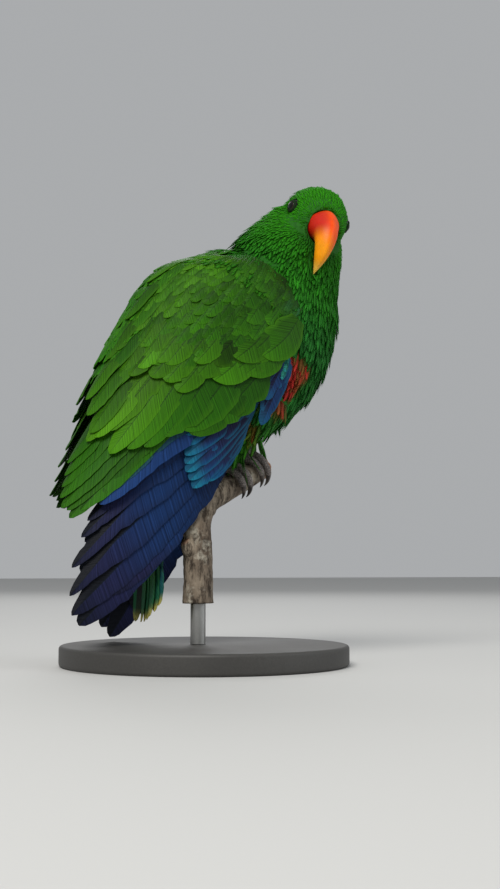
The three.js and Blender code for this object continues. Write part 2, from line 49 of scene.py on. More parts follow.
# Camera: the photo's place and tilt, from below the bird and behind its right side
CAMERA_HEADING = math.radians(22)
CAMERA_RISE = math.radians(5.71)
CAMERA_PLACE = (-250.6, -691.5, 56.7)
CAMERA_LENS = 50
CAMERA_SENSOR = 36

# Studio, in metres: each light's place, size, power and colour
LIT_POINT = (0.02, 0.0, 0.18)
LIGHTS = {"key": ((-0.9, -1.1, 1.5), 0.9, 36, (1.0, 0.98, 0.94)),
          "fill": ((1.4, -0.9, 0.7), 1.2, 8, (0.93, 0.97, 1.0)),
          "back": ((0.5, 1.5, 1.3), 1.0, 9, (1.0, 1.0, 1.0))}
BACKDROP_COLOUR, BACKDROP_STRENGTH = (0.80, 0.82, 0.84, 1), 0.50
FLOOR_HALF, FLOOR_COLOUR = 6.0, (0.50, 0.50, 0.49, 1)

# Driving sizes of the body and the folded wings, in millimetres
BODY_PLANE = 18.0
BODY_SLOPE = math.radians(62)
SHOULDER = np.array([30.0, BODY_PLANE, 238.0])
WING_RADIUS_TOP, WING_RADIUS_BACK, WING_RADIUS_TIPS, WING_RADIUS_BELLY = 43.0, 52.0, 46.0, 84.0
WING_HALF_WIDTH, WING_TAPER, WING_TAPER_START = 46.0, 0.062, 20.0
CHART_ARC = 48.0
SHOULDER_SINK, SHOULDER_FROM, SHOULDER_TO = 9.0, -8.0, 30.0
SINK_FROM, SINK_TO = 50.0, 92.0
LEFT_DROOP = 20.0
TAIL_ROOT_Z, TAIL_TIP_Z, TAIL_ROOT_X, TAIL_TIP_X, TAIL_ARCH = 134.0, 25.0, -30.0, -37.0, 45.0

# Head, beak and eyes
HEAD_CENTRE = np.array([76.2, 4.0, 276.2])
HEAD_YAW, HEAD_PITCH, HEAD_ROLL = math.radians(-5.5), math.radians(-17), math.radians(15)
NECK_AXIS_END = np.array([52.0, 18.0, 222.0])
EYE_RADIUS = 5.0
EYE_PLACE = (1.0, 16.4, 3.0)
EYE_TURNED_AHEAD = 0.28
CULMEN_FORWARD, CULMEN_UP = 18.0, 6.0
LOWER_BEAK_SEAT, LOWER_BEAK_BARE = (13, 0, -22), 12

# The lids' outer end and opening, in degrees from the middle of the eye
LID_REACH, LID_OPENING = 55, 31

# Each beak station: ridge forward and up, cutting edge forward and up, half width
UPPER_BEAK = [(-8, -1, -13, -18, 8.2), (0, 0.5, -9, -19, 9.2), (8.5, -2.5, -3, -20, 9),
              (15.5, -9.5, 2, -20.5, 8), (19, -19, 4.5, -23, 6.6), (18.5, -28, 6, -28.5, 4.8),
              (14.5, -35, 7.5, -34, 2.8), (9.6, -40.6, 8.6, -39.8, 0.7)]
LOWER_BEAK = [(-15, -21, -17, -30, 6.2), (-10, -21, -12, -34, 7.0), (-4, -21.5, -5, -35.5, 6.6),
              (1, -22.2, 1.5, -33, 5.2), (4.2, -24.2, 4.6, -29, 3.0)]

# Places on the folded wing: down along it, and round it from the spine
ELBOW, WRIST, HAND_TIP = (78, 48), (26, 98), (88, 95.5)
GREATER_ROOTS, PRIMARY_COVERT_ROOTS = [(82, 40), (34, 93)], [(46, 96), (90, 96.5)]
SECONDARY_TIPS = [(156, 14), (176, 22), (187, 34), (186, 44), (174, 55)]
GREATER_TIPS = [(140, 28), (142, 40), (137, 60), (120, 75.5), (104, 83.5)]
MEDIAN_TIPS = [(100, 30), (99, 46), (94, 62), (76, 78), (62, 88)]
PRIMARY_TIPS = [(150, 50), (162, 50), (174, 51), (185, 52), (195, 54), (212.5, 58.5), (227, 66.5), (236, 74),
                (239, 78.5), (217, 81.5)]
PRIMARY_COVERT_TIPS = [(116, 78.5), (126, 82), (134, 85), (140, 90), (132, 93.5)]

# Two lines over the wing, as places round it and along it: its upper edge and the last lesser coverts
SHOULDER_LINE = ((12, 30, 60, 88, 100), (14, 9, 8, 12, 20))
LESSER_LINE = ((14, 30, 46, 62, 78, 88, 100), (86, 90, 89, 84, 66, 56, 44))

# How far the shoulders, nape and rump lie under the wing's chart, as places along it and depths
DROP_OVER_BACK = ((-18, -6, 8, 22), (28, 12, 4.5, 0))
DROP_OVER_SIDE = ((-18, -6, 8, 22), (9, 3.5, 1, 0))
DROP_IN_FRONT = ((-18, -6, 8, 30, 48), (16, 9.5, 6.5, 4.5, 0))
RUMP_DROP = ((98, 112, 128, 146), (0, 5, 16, 30))

# Skin and small feathers: space between roots, length, half width, and rise off the skin in degrees
COAT_DEPTH = 0.7
SKIN_VOXEL = 1.5
SMALL_FEATHERS = {"face": (1.0, 4.4, 0.62, 13.0), "beak": (0.8, 2.4, 0.45, 14.0),
                  "neck": (1.6, 8.0, 1.1, 14.0), "body": (2.1, 12.5, 1.5, 9.0),
                  "thigh": (1.6, 21.0, 1.5, 7.0)}

# Feathers of the shoulders: length, half width and rise in degrees
SHOULDER_FEATHERS = (9.0, 1.5, 5.0)

# Each small feather bakes in a patch of about this half size, at its root's place on the skin's unwrap
PATCH_HALF = 0.0015 * 0.85

# The middle of the folded wing, along and round, which hides any small feather under it
HIDDEN_ALONG, HIDDEN_AROUND = (16, 96), (30, 84)

# Coat pieces: from and to along the neck's axis, and the loose strands of each feather
COAT_BANDS = {"crown_feathers": (-9, 0.0, 5), "cheek_feathers": (0.0, 0.3, 5),
              "neck_feathers": (0.3, 0.95, 8), "breast_feathers": (0.95, 1.7, 8),
              "belly_feathers": (1.7, 9, 8)}

# Perch, feet and stand
PERCH_FOOT = 36.0
STUB_RADIUS = 8.6
PERCH_PATH = [(-4.2, 0, PERCH_FOOT), (-4.4, 0, 61), (-5.5, 0, 83), (0, 1.5, 96), (13, 9, 103),
              (31, 19.5, 112), (49, 30, 121)]
PERCH_RADII = [9.4, 9, 9.2, 9.3, STUB_RADIUS, STUB_RADIUS, 8.2]
KNOT = [(-4, 0, 64, 6.6), (-9.5, -2.4, 68, 5.6), (-12.6, -3.4, 71, 4.2), (-14.2, -3.9, 72.6, 2.6)]
STUB_HOLLOW = 3.5

# Each foot: its place along the stub, its hip and its ankle
FEET = {"right": (12, (40, 2, 160), (23, 11, 131)), "left": (32, (50, 33, 160), (41, 25, 139))}

# Each toe: its offset along the stub, the way it wraps round, and where it ends in degrees
TOES = [(3.6, 1, 104), (-3.2, 1, 92), (3.4, -1, 96), (-3.6, -1, 84)]
TOE_THICK, TOE_THIN = 2.45, 1.75
TOE_RADIUS, TOE_AIR = 2.3, 0.45
TOE_REACH = STUB_RADIUS + TOE_RADIUS + TOE_AIR
CLAW_ARC, CLAW_GAP, CLAW_OVERLAP = 42, 4.5, 6
BASE_BEVEL = 2.0

# Colours, scene-linear
GREEN_HEAD = (0.024, 0.215, 0.003)
GREEN_NECK = (0.016, 0.150, 0.006)
GREEN_BREAST = (0.016, 0.130, 0.018)
GREEN_BACK = (0.016, 0.115, 0.003)
GREEN_WING = np.array([0.016, 0.088, 0.002])
GREEN_WING_LIGHT = (0.058, 0.195, 0.003)
# Painted shade for the feathers round the beak's base
GREEN_BEAK_SHADE = (0.005, 0.045, 0.005)
GREEN_THIGH = (0.046, 0.230, 0.012)
BLUE_COVERT = (0.005, 0.062, 0.200)
BLUE_PRIMARY = (0.009, 0.034, 0.125)
BLUE_VIOLET = np.array([0.012, 0.014, 0.050])
TURQUOISE = (0.010, 0.180, 0.260)
INK = np.array([0.004, 0.005, 0.008])
RED_FLANK = (0.420, 0.030, 0.022)
TAIL_YELLOW = np.array([0.480, 0.400, 0.110])
TAIL_BLUE = (0.006, 0.055, 0.085)
# The crimson is painted shade on the beak's right side; scarlet, orange and amber are the beak's own colours
BEAK_SHADE_CRIMSON, SCARLET = (0.46, 0.012, 0.003), (0.80, 0.075, 0.001)
ORANGE, AMBER = (0.90, 0.32, 0.004), (0.95, 0.60, 0.10)


def smoothstep(x, low, high):
    t = np.clip((np.asarray(x, float) - low) / (high - low), 0, 1)
    return t * t * (3 - 2 * t)


def window(x, start, full, fading, end):
    """0 before the start and after the end, 1 from full to fading."""
    return smoothstep(x, start, full) * (1 - smoothstep(x, fading, end))


def lerp(a, b, t):
    return a + (b - a) * t


def unit(v):
    v = np.asarray(v, float)
    return v / np.maximum(np.linalg.norm(v, axis=-1, keepdims=True), 1e-9)


def mix(a, b, t):
    """Two colours, or arrays of them, mixed by a number or an array."""
    t = np.asarray(t, float)[..., None]
    return np.asarray(a) * (1 - t) + np.asarray(b) * t


def vary(colour, rng, amount=0.14):
    """A colour a little lighter or darker than the one given."""
    return np.asarray(colour) * (1 + amount * rng.standard_normal())


def shares(count):
    """Each number below a count, with its share of the way from 0 to 1."""
    return [(i, i / (count - 1)) for i in range(count)]


def turns(count):
    """Evenly spread angles round a full circle."""
    return 2 * np.pi * np.arange(count) / count


def on_line(points, t):
    """A point on a polyline of number pairs, t from 0 to 1."""
    points = np.asarray(points, float)
    place = np.linspace(0, 1, len(points))
    return [np.interp(t, place, points[:, 0]), np.interp(t, place, points[:, 1])]


# Body frame: down the back's slope, out of the back, and towards the bird's left
SLOPE_DOWN = np.array([-math.cos(BODY_SLOPE), 0, -math.sin(BODY_SLOPE)])
SLOPE_BACK = np.array([-math.sin(BODY_SLOPE), 0, math.cos(BODY_SLOPE)])
TOWARDS_LEFT = np.array([0.0, 1.0, 0.0])

# Head frame: forward along the gaze, right towards the bird's right, up through the crown
GAZE = np.array([math.sin(HEAD_YAW) * math.cos(HEAD_PITCH), -math.cos(HEAD_YAW) * math.cos(HEAD_PITCH),
                 math.sin(HEAD_PITCH)])
LEVEL_RIGHT = np.array([-math.cos(HEAD_YAW), -math.sin(HEAD_YAW), 0.0])
LEVEL_UP = np.cross(LEVEL_RIGHT, GAZE)
HEAD_RIGHT = LEVEL_RIGHT * math.cos(HEAD_ROLL) + LEVEL_UP * math.sin(HEAD_ROLL)
HEAD_UP = LEVEL_UP * math.cos(HEAD_ROLL) - LEVEL_RIGHT * math.sin(HEAD_ROLL)

# Stub frame: along the perch's cut end, square to it on the level, and upwards
STUB_START, STUB_END = np.array(PERCH_PATH[4], float), np.array(PERCH_PATH[6], float)
STUB_AXIS = unit(STUB_END - STUB_START)
STUB_FAR = unit(np.cross([0, 0, 1.0], STUB_AXIS))
STUB_UP = np.cross(STUB_AXIS, STUB_FAR)


def head_point(forward, right, up):
    return HEAD_CENTRE + forward * GAZE + right * HEAD_RIGHT + up * HEAD_UP


def eye_centre(side):
    """The middle of the right eye for side 1, of the left one for side -1."""
    forward, right, up = EYE_PLACE
    return head_point(forward, side * right, up)


def stub_point(along, angle, radius):
    """A place round the perch's stub; the angle starts at its top."""
    return (STUB_START + along * STUB_AXIS + np.multiply(radius, np.cos(angle))[..., None] * STUB_UP
            - np.multiply(radius, np.sin(angle))[..., None] * STUB_FAR)


BEAK_ROOT = head_point(20, 0, -4)
BEAK_BASE = head_point(16, 0, -12)


def aimed(direction):
    """The rotation that looks along a direction."""
    return Vector(direction).to_track_quat("-Z", "Y").to_euler()


def add_object(name, data):
    made = bpy.data.objects.new(name, data)
    bpy.context.scene.collection.objects.link(made)
    return made


def make_camera():
    data = bpy.data.cameras.new("camera")
    data.lens = CAMERA_LENS
    data.sensor_width = CAMERA_SENSOR
    data.clip_start = 0.01
    camera = add_object("camera", data)
    camera.rotation_euler = aimed((math.sin(CAMERA_HEADING) * math.cos(CAMERA_RISE),
                                   math.cos(CAMERA_HEADING) * math.cos(CAMERA_RISE), math.sin(CAMERA_RISE)))
    camera.location = Vector(CAMERA_PLACE) * MM
    bpy.context.scene.camera = camera


def make_stage():
    for name, (place, size, power, colour) in LIGHTS.items():
        data = bpy.data.lights.new(name, "AREA")
        data.size = size
        data.energy = power
        data.color = colour
        lamp = add_object(name, data)
        lamp.location = place
        lamp.rotation_euler = aimed(Vector(LIT_POINT) - Vector(place))
    world = bpy.data.worlds.new("studio")
    world.use_nodes = True
    backdrop = world.node_tree.nodes["Background"]
    backdrop.inputs["Color"].default_value = BACKDROP_COLOUR
    backdrop.inputs["Strength"].default_value = BACKDROP_STRENGTH
    bpy.context.scene.world = world
    bpy.context.scene.view_settings.view_transform = "Standard"
    mesh = bpy.data.meshes.new("floor")
    corners = [(x * FLOOR_HALF, y * FLOOR_HALF, 0) for x, y in ((-1, -1), (1, -1), (1, 1), (-1, 1))]
    mesh.from_pydata(corners, [], [(0, 1, 2, 3)])
    n = Nodes("floor")
    mesh.materials.append(n.finish(FLOOR_COLOUR, 0.8))
    add_object("floor", mesh)


class Nodes:
    """A short way to write a material's node tree."""

    def __init__(self, name):
        self.material = bpy.data.materials.new(name)
        self.material.use_nodes = True
        self.tree = self.material.node_tree
        self.shader = self.tree.nodes["Principled BSDF"]

    def feed(self, socket, value):
        if isinstance(value, bpy.types.NodeSocket):
            self.tree.links.new(value, socket)
        else:
            socket.default_value = value

    def add(self, kind, inputs, output=0, **settings):
        """The output of a new node, with its inputs fed from numbers or other nodes."""
        made = self.tree.nodes.new(kind)
        for key, value in settings.items():
            setattr(made, key, value)
        for key, value in inputs.items():
            self.feed(made.inputs[key], value)
        return made.outputs[output]

    def math(self, operation, a, b=0.0, clamp=False):
        return self.add("ShaderNodeMath", {0: a, 1: b}, operation=operation, use_clamp=clamp)

    def between(self, value, low, high, start=0.0, end=1.0):
        """A value's place between two limits, as a number from start to end."""
        return self.add("ShaderNodeMapRange", {0: value, 1: low, 2: high, 3: start, 4: end})

    def blend(self, factor, a, b, how="MIX"):
        return self.add("ShaderNodeMix", {0: factor, 6: a, 7: b}, output=2, data_type="RGBA", blend_type=how)

    def tint(self, colour, factor):
        return self.blend(1.0, colour, factor, how="MULTIPLY")

    def noise(self, vector, scale, detail=3.0, roughness=0.55, line=False):
        """Noise in space, or along one number if it is for a line."""
        inputs = {"W" if line else "Vector": vector, "Scale": scale, "Detail": detail, "Roughness": roughness}
        return self.add("ShaderNodeTexNoise", inputs, noise_dimensions="1D" if line else "3D")

    def bump(self, height, strength, distance):
        return self.add("ShaderNodeBump", {"Height": height, "Strength": strength, "Distance": distance})

    def place(self):
        return self.add("ShaderNodeTexCoord", {}, output="Object")

    def split_uv(self, name):
        uv = self.add("ShaderNodeUVMap", {}, uv_map=name)
        return [self.add("ShaderNodeSeparateXYZ", {0: uv}, output=k) for k in (0, 1)]

    def attribute(self, name):
        return self.add("ShaderNodeAttribute", {}, output="Color", attribute_name=name)

    def finish(self, colour, roughness, normal=None, specular=0.5, **numbers):
        """The material. Numbers set sockets of the shader, such as coat_weight."""
        self.feed(self.shader.inputs["Base Color"], colour)
        self.feed(self.shader.inputs["Roughness"], roughness)
        self.shader.inputs["Specular IOR Level"].default_value = specular
        for key, value in numbers.items():
            self.shader.inputs[key.replace("_", " ").title()].default_value = value
        if normal is not None:
            self.feed(self.shader.inputs["Normal"], normal)
        return self.material


def feather_material(name, barb_scale, barb_depth, gloss, edge_light):
    """Two vanes with their own colours, fine slanted barbs, painted shade towards the root where the next
    feather overlaps, a dark shaft and a pale worn rim.
    """
    n = Nodes(name)
    across, along = n.split_uv("Shape")
    barb_x, barb_y = n.split_uv("Barb")
    from_shaft = n.math("ABSOLUTE", n.math("SUBTRACT", across, 0.5))
    slant = n.math("ADD", n.math("MULTIPLY", n.math("ABSOLUTE", barb_x), -1.1), barb_y)
    barbs = n.noise(slant, barb_scale, detail=2.5, roughness=0.7, line=True)
    colour = n.blend(n.between(across, 0.47, 0.53), n.attribute("Shade"), n.attribute("Tone"))
    colour = n.tint(colour, n.between(barbs, 0.3, 0.7, 1 - barb_depth, 1 + barb_depth))
    # Painted shade: darker towards the root, where the feather above overlaps and shades it
    colour = n.tint(colour, n.between(along, 0.35, 1.0, 0.55, 1.12))
    rim = n.math("MAXIMUM", n.between(from_shaft, 0.34, 0.5), n.between(along, 0.80, 1.0))
    colour = n.blend(n.math("MULTIPLY", rim, edge_light, clamp=True), colour, n.attribute("Rim"))
    shaft = n.between(from_shaft, 0.010, 0.024, 0.5, 0.0)
    colour = n.blend(shaft, colour, (0.004, 0.008, 0.004, 1))
    return n.finish(colour, gloss, n.bump(barbs, 0.5, 0.0004), specular=0.09)


def coat_material():
    """Small body feathers: soft strands, each with a colour of its own that carries painted shade towards its
    root.
    """
    n = Nodes("body_feathers")
    barb_x, barb_y = n.split_uv("Barb")
    slant = n.math("ADD", n.math("MULTIPLY", barb_x, 2.0), n.math("MULTIPLY", barb_y, 0.35))
    strands = n.noise(slant, 900.0, detail=2.0, roughness=0.7, line=True)
    colour = n.tint(n.attribute("Tone"), n.between(strands, 0.3, 0.7, 0.72, 1.28))
    return n.finish(colour, 0.65, n.bump(strands, 0.3, 0.0003), specular=0.08)


def mottled_material(name, scale, dark, pale, roughness, relief, specular, limits, detail=3.0):
    """Two colours mixed by a grain between two limits. The relief is the grain's strength and height."""
    n = Nodes(name)
    grain = n.noise(n.place(), scale, detail)
    colour = n.blend(n.between(grain, *limits), dark, pale)
    return n.finish(colour, roughness, n.bump(grain, *relief), specular)


def beak_material():
    n = Nodes("beak_horn")
    fine = n.noise(n.place(), 90.0, detail=4.0)
    growth = n.noise(n.place(), 700.0, detail=2.0)
    colour = n.tint(n.attribute("Tone"), n.between(fine, 0.3, 0.7, 0.86, 1.12))
    roughness = n.between(fine, 0.3, 0.7, 0.36, 0.50)
    return n.finish(colour, roughness, n.bump(growth, 0.08, 0.0003), specular=0.22,
                    subsurface_weight=0.08, subsurface_radius=(0.004, 0.001, 0.0005))


def eye_material():
    """A dark pupil, a brown iris and a black rim, by the distance from the middle of the eye."""
    n = Nodes("eye_surface")
    from_middle = n.add("ShaderNodeSeparateColor", {0: n.attribute("Ring")})
    fibres = n.noise(n.place(), 1500.0, detail=2.0)
    iris = n.blend(fibres, (0.016, 0.006, 0.003, 1), (0.050, 0.018, 0.005, 1))
    colour = n.blend(n.between(from_middle, 0.50, 0.56), (0.002, 0.002, 0.002, 1), iris)
    colour = n.blend(n.between(from_middle, 0.74, 0.84), colour, (0.003, 0.003, 0.003, 1))
    return n.finish(colour, 0.16, specular=0.25, coat_weight=0.15, coat_roughness=0.05)


def foot_material():
    n = Nodes("foot_scales")
    cells = n.add("ShaderNodeTexVoronoi", {"Vector": n.place(), "Scale": 700.0}, feature="DISTANCE_TO_EDGE")
    edge = n.between(cells, 0.0, 0.14)
    dust = n.noise(n.place(), 300.0, detail=4.0)
    colour = n.blend(dust, (0.100, 0.088, 0.084, 1), (0.30, 0.26, 0.235, 1))
    colour = n.blend(edge, (0.030, 0.028, 0.028, 1), colour)
    return n.finish(colour, 0.62, n.bump(edge, 0.6, 0.0003), specular=0.35)


def bark_material():
    """Weathered bark with dark cracks and pale lichen, and bare reddish wood where the branch is torn."""
    n = Nodes("bark_weathered")
    stretched = n.add("ShaderNodeMapping", {0: n.place(), 3: (1.0, 1.0, 0.35)})
    broad = n.noise(stretched, 55.0, detail=6.0, roughness=0.65)
    fine = n.noise(stretched, 330.0, detail=6.0, roughness=0.7)
    lichen = n.noise(n.place(), 75.0, detail=5.0, roughness=0.7)
    colour = n.blend(n.between(broad, 0.36, 0.64), (0.110, 0.082, 0.060, 1), (0.36, 0.30, 0.225, 1))
    colour = n.blend(n.between(fine, 0.40, 0.54, 0.85, 0.0), colour, (0.022, 0.016, 0.012, 1))
    colour = n.blend(n.between(lichen, 0.56, 0.68, 0.0, 0.7), colour, (0.46, 0.43, 0.35, 1))
    wood = n.blend(fine, (0.20, 0.085, 0.045, 1), (0.48, 0.27, 0.16, 1))
    colour = n.blend(n.attribute("Wound"), colour, wood)
    height = n.math("ADD", n.math("MULTIPLY", broad, 0.5), fine)
    return n.finish(colour, 0.9, n.bump(height, 0.9, 0.0012), specular=0.2)


def stand_material(name, dark, pale, roughness, metallic):
    n = Nodes(name)
    grain = n.noise(n.place(), 900.0)
    broad = n.noise(n.place(), 14.0, detail=2.0)
    colour = n.blend(n.math("MULTIPLY", grain, broad), dark, pale)
    worn = n.between(broad, 0.3, 0.7, roughness - 0.06, roughness + 0.06)
    return n.finish(colour, worn, n.bump(grain, 0.12, 0.0002), specular=0.4, metallic=metallic)


def new_piece(name, points, faces, material, slot, replaced=None, uvs=None, colours=None, crease=None):
    """A piece from points in millimetres, arrays of faces, and UVs and colours for each point."""
    mesh = bpy.data.meshes.new(name)
    corners = np.concatenate([f.ravel() for f in faces]).astype(np.int32)
    sizes = np.concatenate([np.full(len(f), f.shape[1]) for f in faces])
    starts = np.concatenate([[0], np.cumsum(sizes)[:-1]]).astype(np.int32)
    mesh.vertices.add(len(points))
    mesh.vertices.foreach_set("co", (np.asarray(points) * MM).astype(np.float32).ravel())
    mesh.loops.add(len(corners))
    mesh.loops.foreach_set("vertex_index", corners)
    mesh.polygons.add(len(sizes))
    mesh.polygons.foreach_set("loop_start", starts)
    mesh.update(calc_edges=True)
    for uv_name, values in (uvs or {}).items():
        layer = mesh.uv_layers.new(name=uv_name)
        layer.data.foreach_set("uv", np.asarray(values, np.float32)[corners].ravel())
    for colour_name, values in (colours or {}).items():
        layer = mesh.color_attributes.new(name=colour_name, type="FLOAT_COLOR", domain="POINT")
        rgba = np.ones((len(points), 4), np.float32)
        rgba[:, :3] = values
        layer.data.foreach_set("color", rgba.ravel())
    mesh.materials.append(material)
    shade_smooth(mesh, crease)
    piece = add_object(name, mesh)
    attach(piece, "root")
    if replaced:
        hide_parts(replaced)
    return piece


def shade_smooth(mesh, crease=None):
    """Smooth shading, apart from edges sharper than the crease in degrees."""
    mesh.polygons.foreach_set("use_smooth", np.ones(len(mesh.polygons), bool))
    if crease:
        mesh.set_sharp_from_angle(angle=math.radians(crease))


class Sheaf:
    """Collects many small solids into the arrays of one piece, each with a cell of its own to bake in."""

    UVS, COLOURS = ("OFBake", "Shape", "Barb"), ("Tone", "Shade", "Rim")
    MARGIN = 0.06

    def __init__(self, cells_across=1):
        self.points, self.quads, self.triangles, self.layers = [], [], [], {}
        self.count = 0
        self.cells_across, self.cell = cells_across, -1

    def add(self, points, quads, triangles=None, **layers):
        self.points.append(points)
        self.quads.append(quads + self.count)
        if triangles is not None:
            self.triangles.append(triangles + self.count)
        for key, values in layers.items():
            self.layers.setdefault(key, []).append(values)
        self.count += len(points)

    def bake_place(self, u, v):
        """A place inside the present cell of the square bake map."""
        row, column = divmod(self.cell, self.cells_across)
        corner = np.array([column, row]) + self.MARGIN
        return (corner + (1 - 2 * self.MARGIN) * np.stack([u, v], -1)) / self.cells_across

    def piece(self, name, material, slot, replaced=None, crease=None):
        faces = [np.concatenate(group) for group in (self.quads, self.triangles) if group]
        layers = {key: np.concatenate(values) for key, values in self.layers.items()}
        uvs, colours = ({key: layers[key] for key in keys if key in layers}
                        for keys in (self.UVS, self.COLOURS))
        points = np.concatenate(self.points)
        return new_piece(name, points, faces, material, slot, replaced, uvs, colours, crease)


def tube_faces(rings, sides, closed=False):
    """Quads between rings of equal point count, with the last ring joined to the first if closed."""
    k, i = np.meshgrid(np.arange(rings if closed else rings - 1), np.arange(sides), indexing="ij")
    after, beside = (k + 1) % rings, (i + 1) % sides
    corners = [k * sides + i, k * sides + beside, after * sides + beside, after * sides + i]
    return np.stack(corners, -1).reshape(-1, 4)


def cap_faces(start, sides, centre, turned):
    i = np.arange(sides)
    ring = [start + i, start + (i + 1) % sides]
    if turned:
        ring.reverse()
    return np.stack([*ring, np.full(sides, centre)], -1)


def outward(points, faces):
    """The faces, turned round if the solid's volume comes out negative."""
    a, b, c, d = (points[faces[0][:, k]] for k in range(4))
    volume = (a * np.cross(b, c)).sum() + (a * np.cross(c, d)).sum()
    return faces if volume > 0 else [f[:, ::-1] for f in faces]


def close_loft(rings, first=None, last=None):
    """Points and faces of a loft closed by a fan at each end, round a point given or the ring's middle."""
    count, sides = rings.shape[:2]
    first = rings[0].mean(0) if first is None else first
    last = rings[-1].mean(0) if last is None else last
    points = np.concatenate([rings.reshape(-1, 3), [first], [last]])
    total = count * sides
    caps = np.concatenate([cap_faces(0, sides, total, turned=True),
                           cap_faces((count - 1) * sides, sides, total + 1, turned=False)])
    return points, outward(points, [tube_faces(count, sides), caps])


def smooth_path(points, steps):
    """A Catmull-Rom path through rows of numbers, steps to each span."""
    points = np.asarray(points, float)
    padded = np.vstack([2 * points[0] - points[1], points, 2 * points[-1] - points[-2]])
    rows = []
    for k in range(len(points) - 1):
        p0, p1, p2, p3 = padded[k:k + 4]
        for t in np.arange(steps) / steps:
            rows.append(0.5 * ((2 * p1) + (p2 - p0) * t + (2 * p0 - 5 * p1 + 4 * p2 - p3) * t ** 2
                               + (3 * p1 - p0 - 3 * p2 + p3) * t ** 3))
    rows.append(points[-1])
    return np.array(rows)


def spokes(path, sides, flatness=1.0):
    """Directions round a path at each of its points, without twist, and the way along it."""
    along = unit(np.gradient(path, axis=0))
    across = unit(np.cross([0.31, -0.87, 0.39], along[0]))
    level = []
    for direction in along:
        across = unit(across - direction * np.dot(across, direction))
        level.append(across)
    level = np.array(level)
    angle = turns(sides)[:, None]
    return flatness * np.cos(angle) * level[:, None] + np.sin(angle) * np.cross(along, level)[:, None], along


def tube(path, radii, sides, flatness=1.0):
    return path[:, None] + radii[:, None, None] * spokes(path, sides, flatness)[0]


# Charts of the folded wing and the hanging tail: places along, round and off them to places in space
def wing_chart(side, along, around, lift):
    along, around, lift = np.broadcast_arrays(along, around, lift)
    sink = (1 - smoothstep(along, SHOULDER_FROM, SHOULDER_TO)) * (1 - smoothstep(around, SINK_FROM, SINK_TO))
    lift = lift - SHOULDER_SINK * sink
    angle = around / CHART_ARC
    back_radius = (lerp(WING_RADIUS_TOP, WING_RADIUS_BACK, smoothstep(along, 0, 50))
                   + (WING_RADIUS_TIPS - WING_RADIUS_BACK) * smoothstep(along, 100, 180))
    radius = np.where(np.cos(angle) > 0, back_radius, WING_RADIUS_BELLY)
    width = WING_HALF_WIDTH - WING_TAPER * np.maximum(0, along - WING_TAPER_START)
    normal_back, normal_out = np.cos(angle) / radius, np.sin(angle) / width
    length = np.hypot(normal_back, normal_out)
    back = radius * np.cos(angle) + lift * normal_back / length
    out = width * np.sin(angle) + lift * normal_out / length
    return (SHOULDER + along[..., None] * SLOPE_DOWN + back[..., None] * SLOPE_BACK
            + side * out[..., None] * TOWARDS_LEFT)


def shoulder_chart(side, along, around, lift):
    """The wing's chart, let down onto the rounded shoulders and nape above the wing's upper edge."""
    along, around, lift = np.broadcast_arrays(along, around, lift)
    over_back, over_side, in_front = (np.interp(along, *drop)
                                      for drop in (DROP_OVER_BACK, DROP_OVER_SIDE, DROP_IN_FRONT))
    drop = lerp(over_back, over_side, smoothstep(np.abs(around), 20, 75))
    drop = lerp(drop, in_front, smoothstep(around, 76, 92))
    return wing_chart(side, along, around, lift - drop)


def tail_chart(side, along, around, lift):
    along, around, lift = np.broadcast_arrays(along, around, lift)
    down = along / (TAIL_ROOT_Z - TAIL_TIP_Z)
    lean = around / TAIL_ARCH
    level = np.hypot(1, lean)
    x = lerp(TAIL_ROOT_X, TAIL_TIP_X, down) + around * lean / 2 - lift / level
    y = BODY_PLANE + side * (around + lift * lean / level)
    return np.stack([x, y, TAIL_ROOT_Z - along], -1)


def wing_place(points):
    """The chart places along and round the folded wing of points in space, and their distance out."""
    away = points - SHOULDER
    back, out = away @ SLOPE_BACK, np.abs(away[:, 1])
    radius = np.where(back > 0, WING_RADIUS_BACK, WING_RADIUS_BELLY)
    return away @ SLOPE_DOWN, CHART_ARC * np.arctan2(out / WING_HALF_WIDTH, back / radius), out


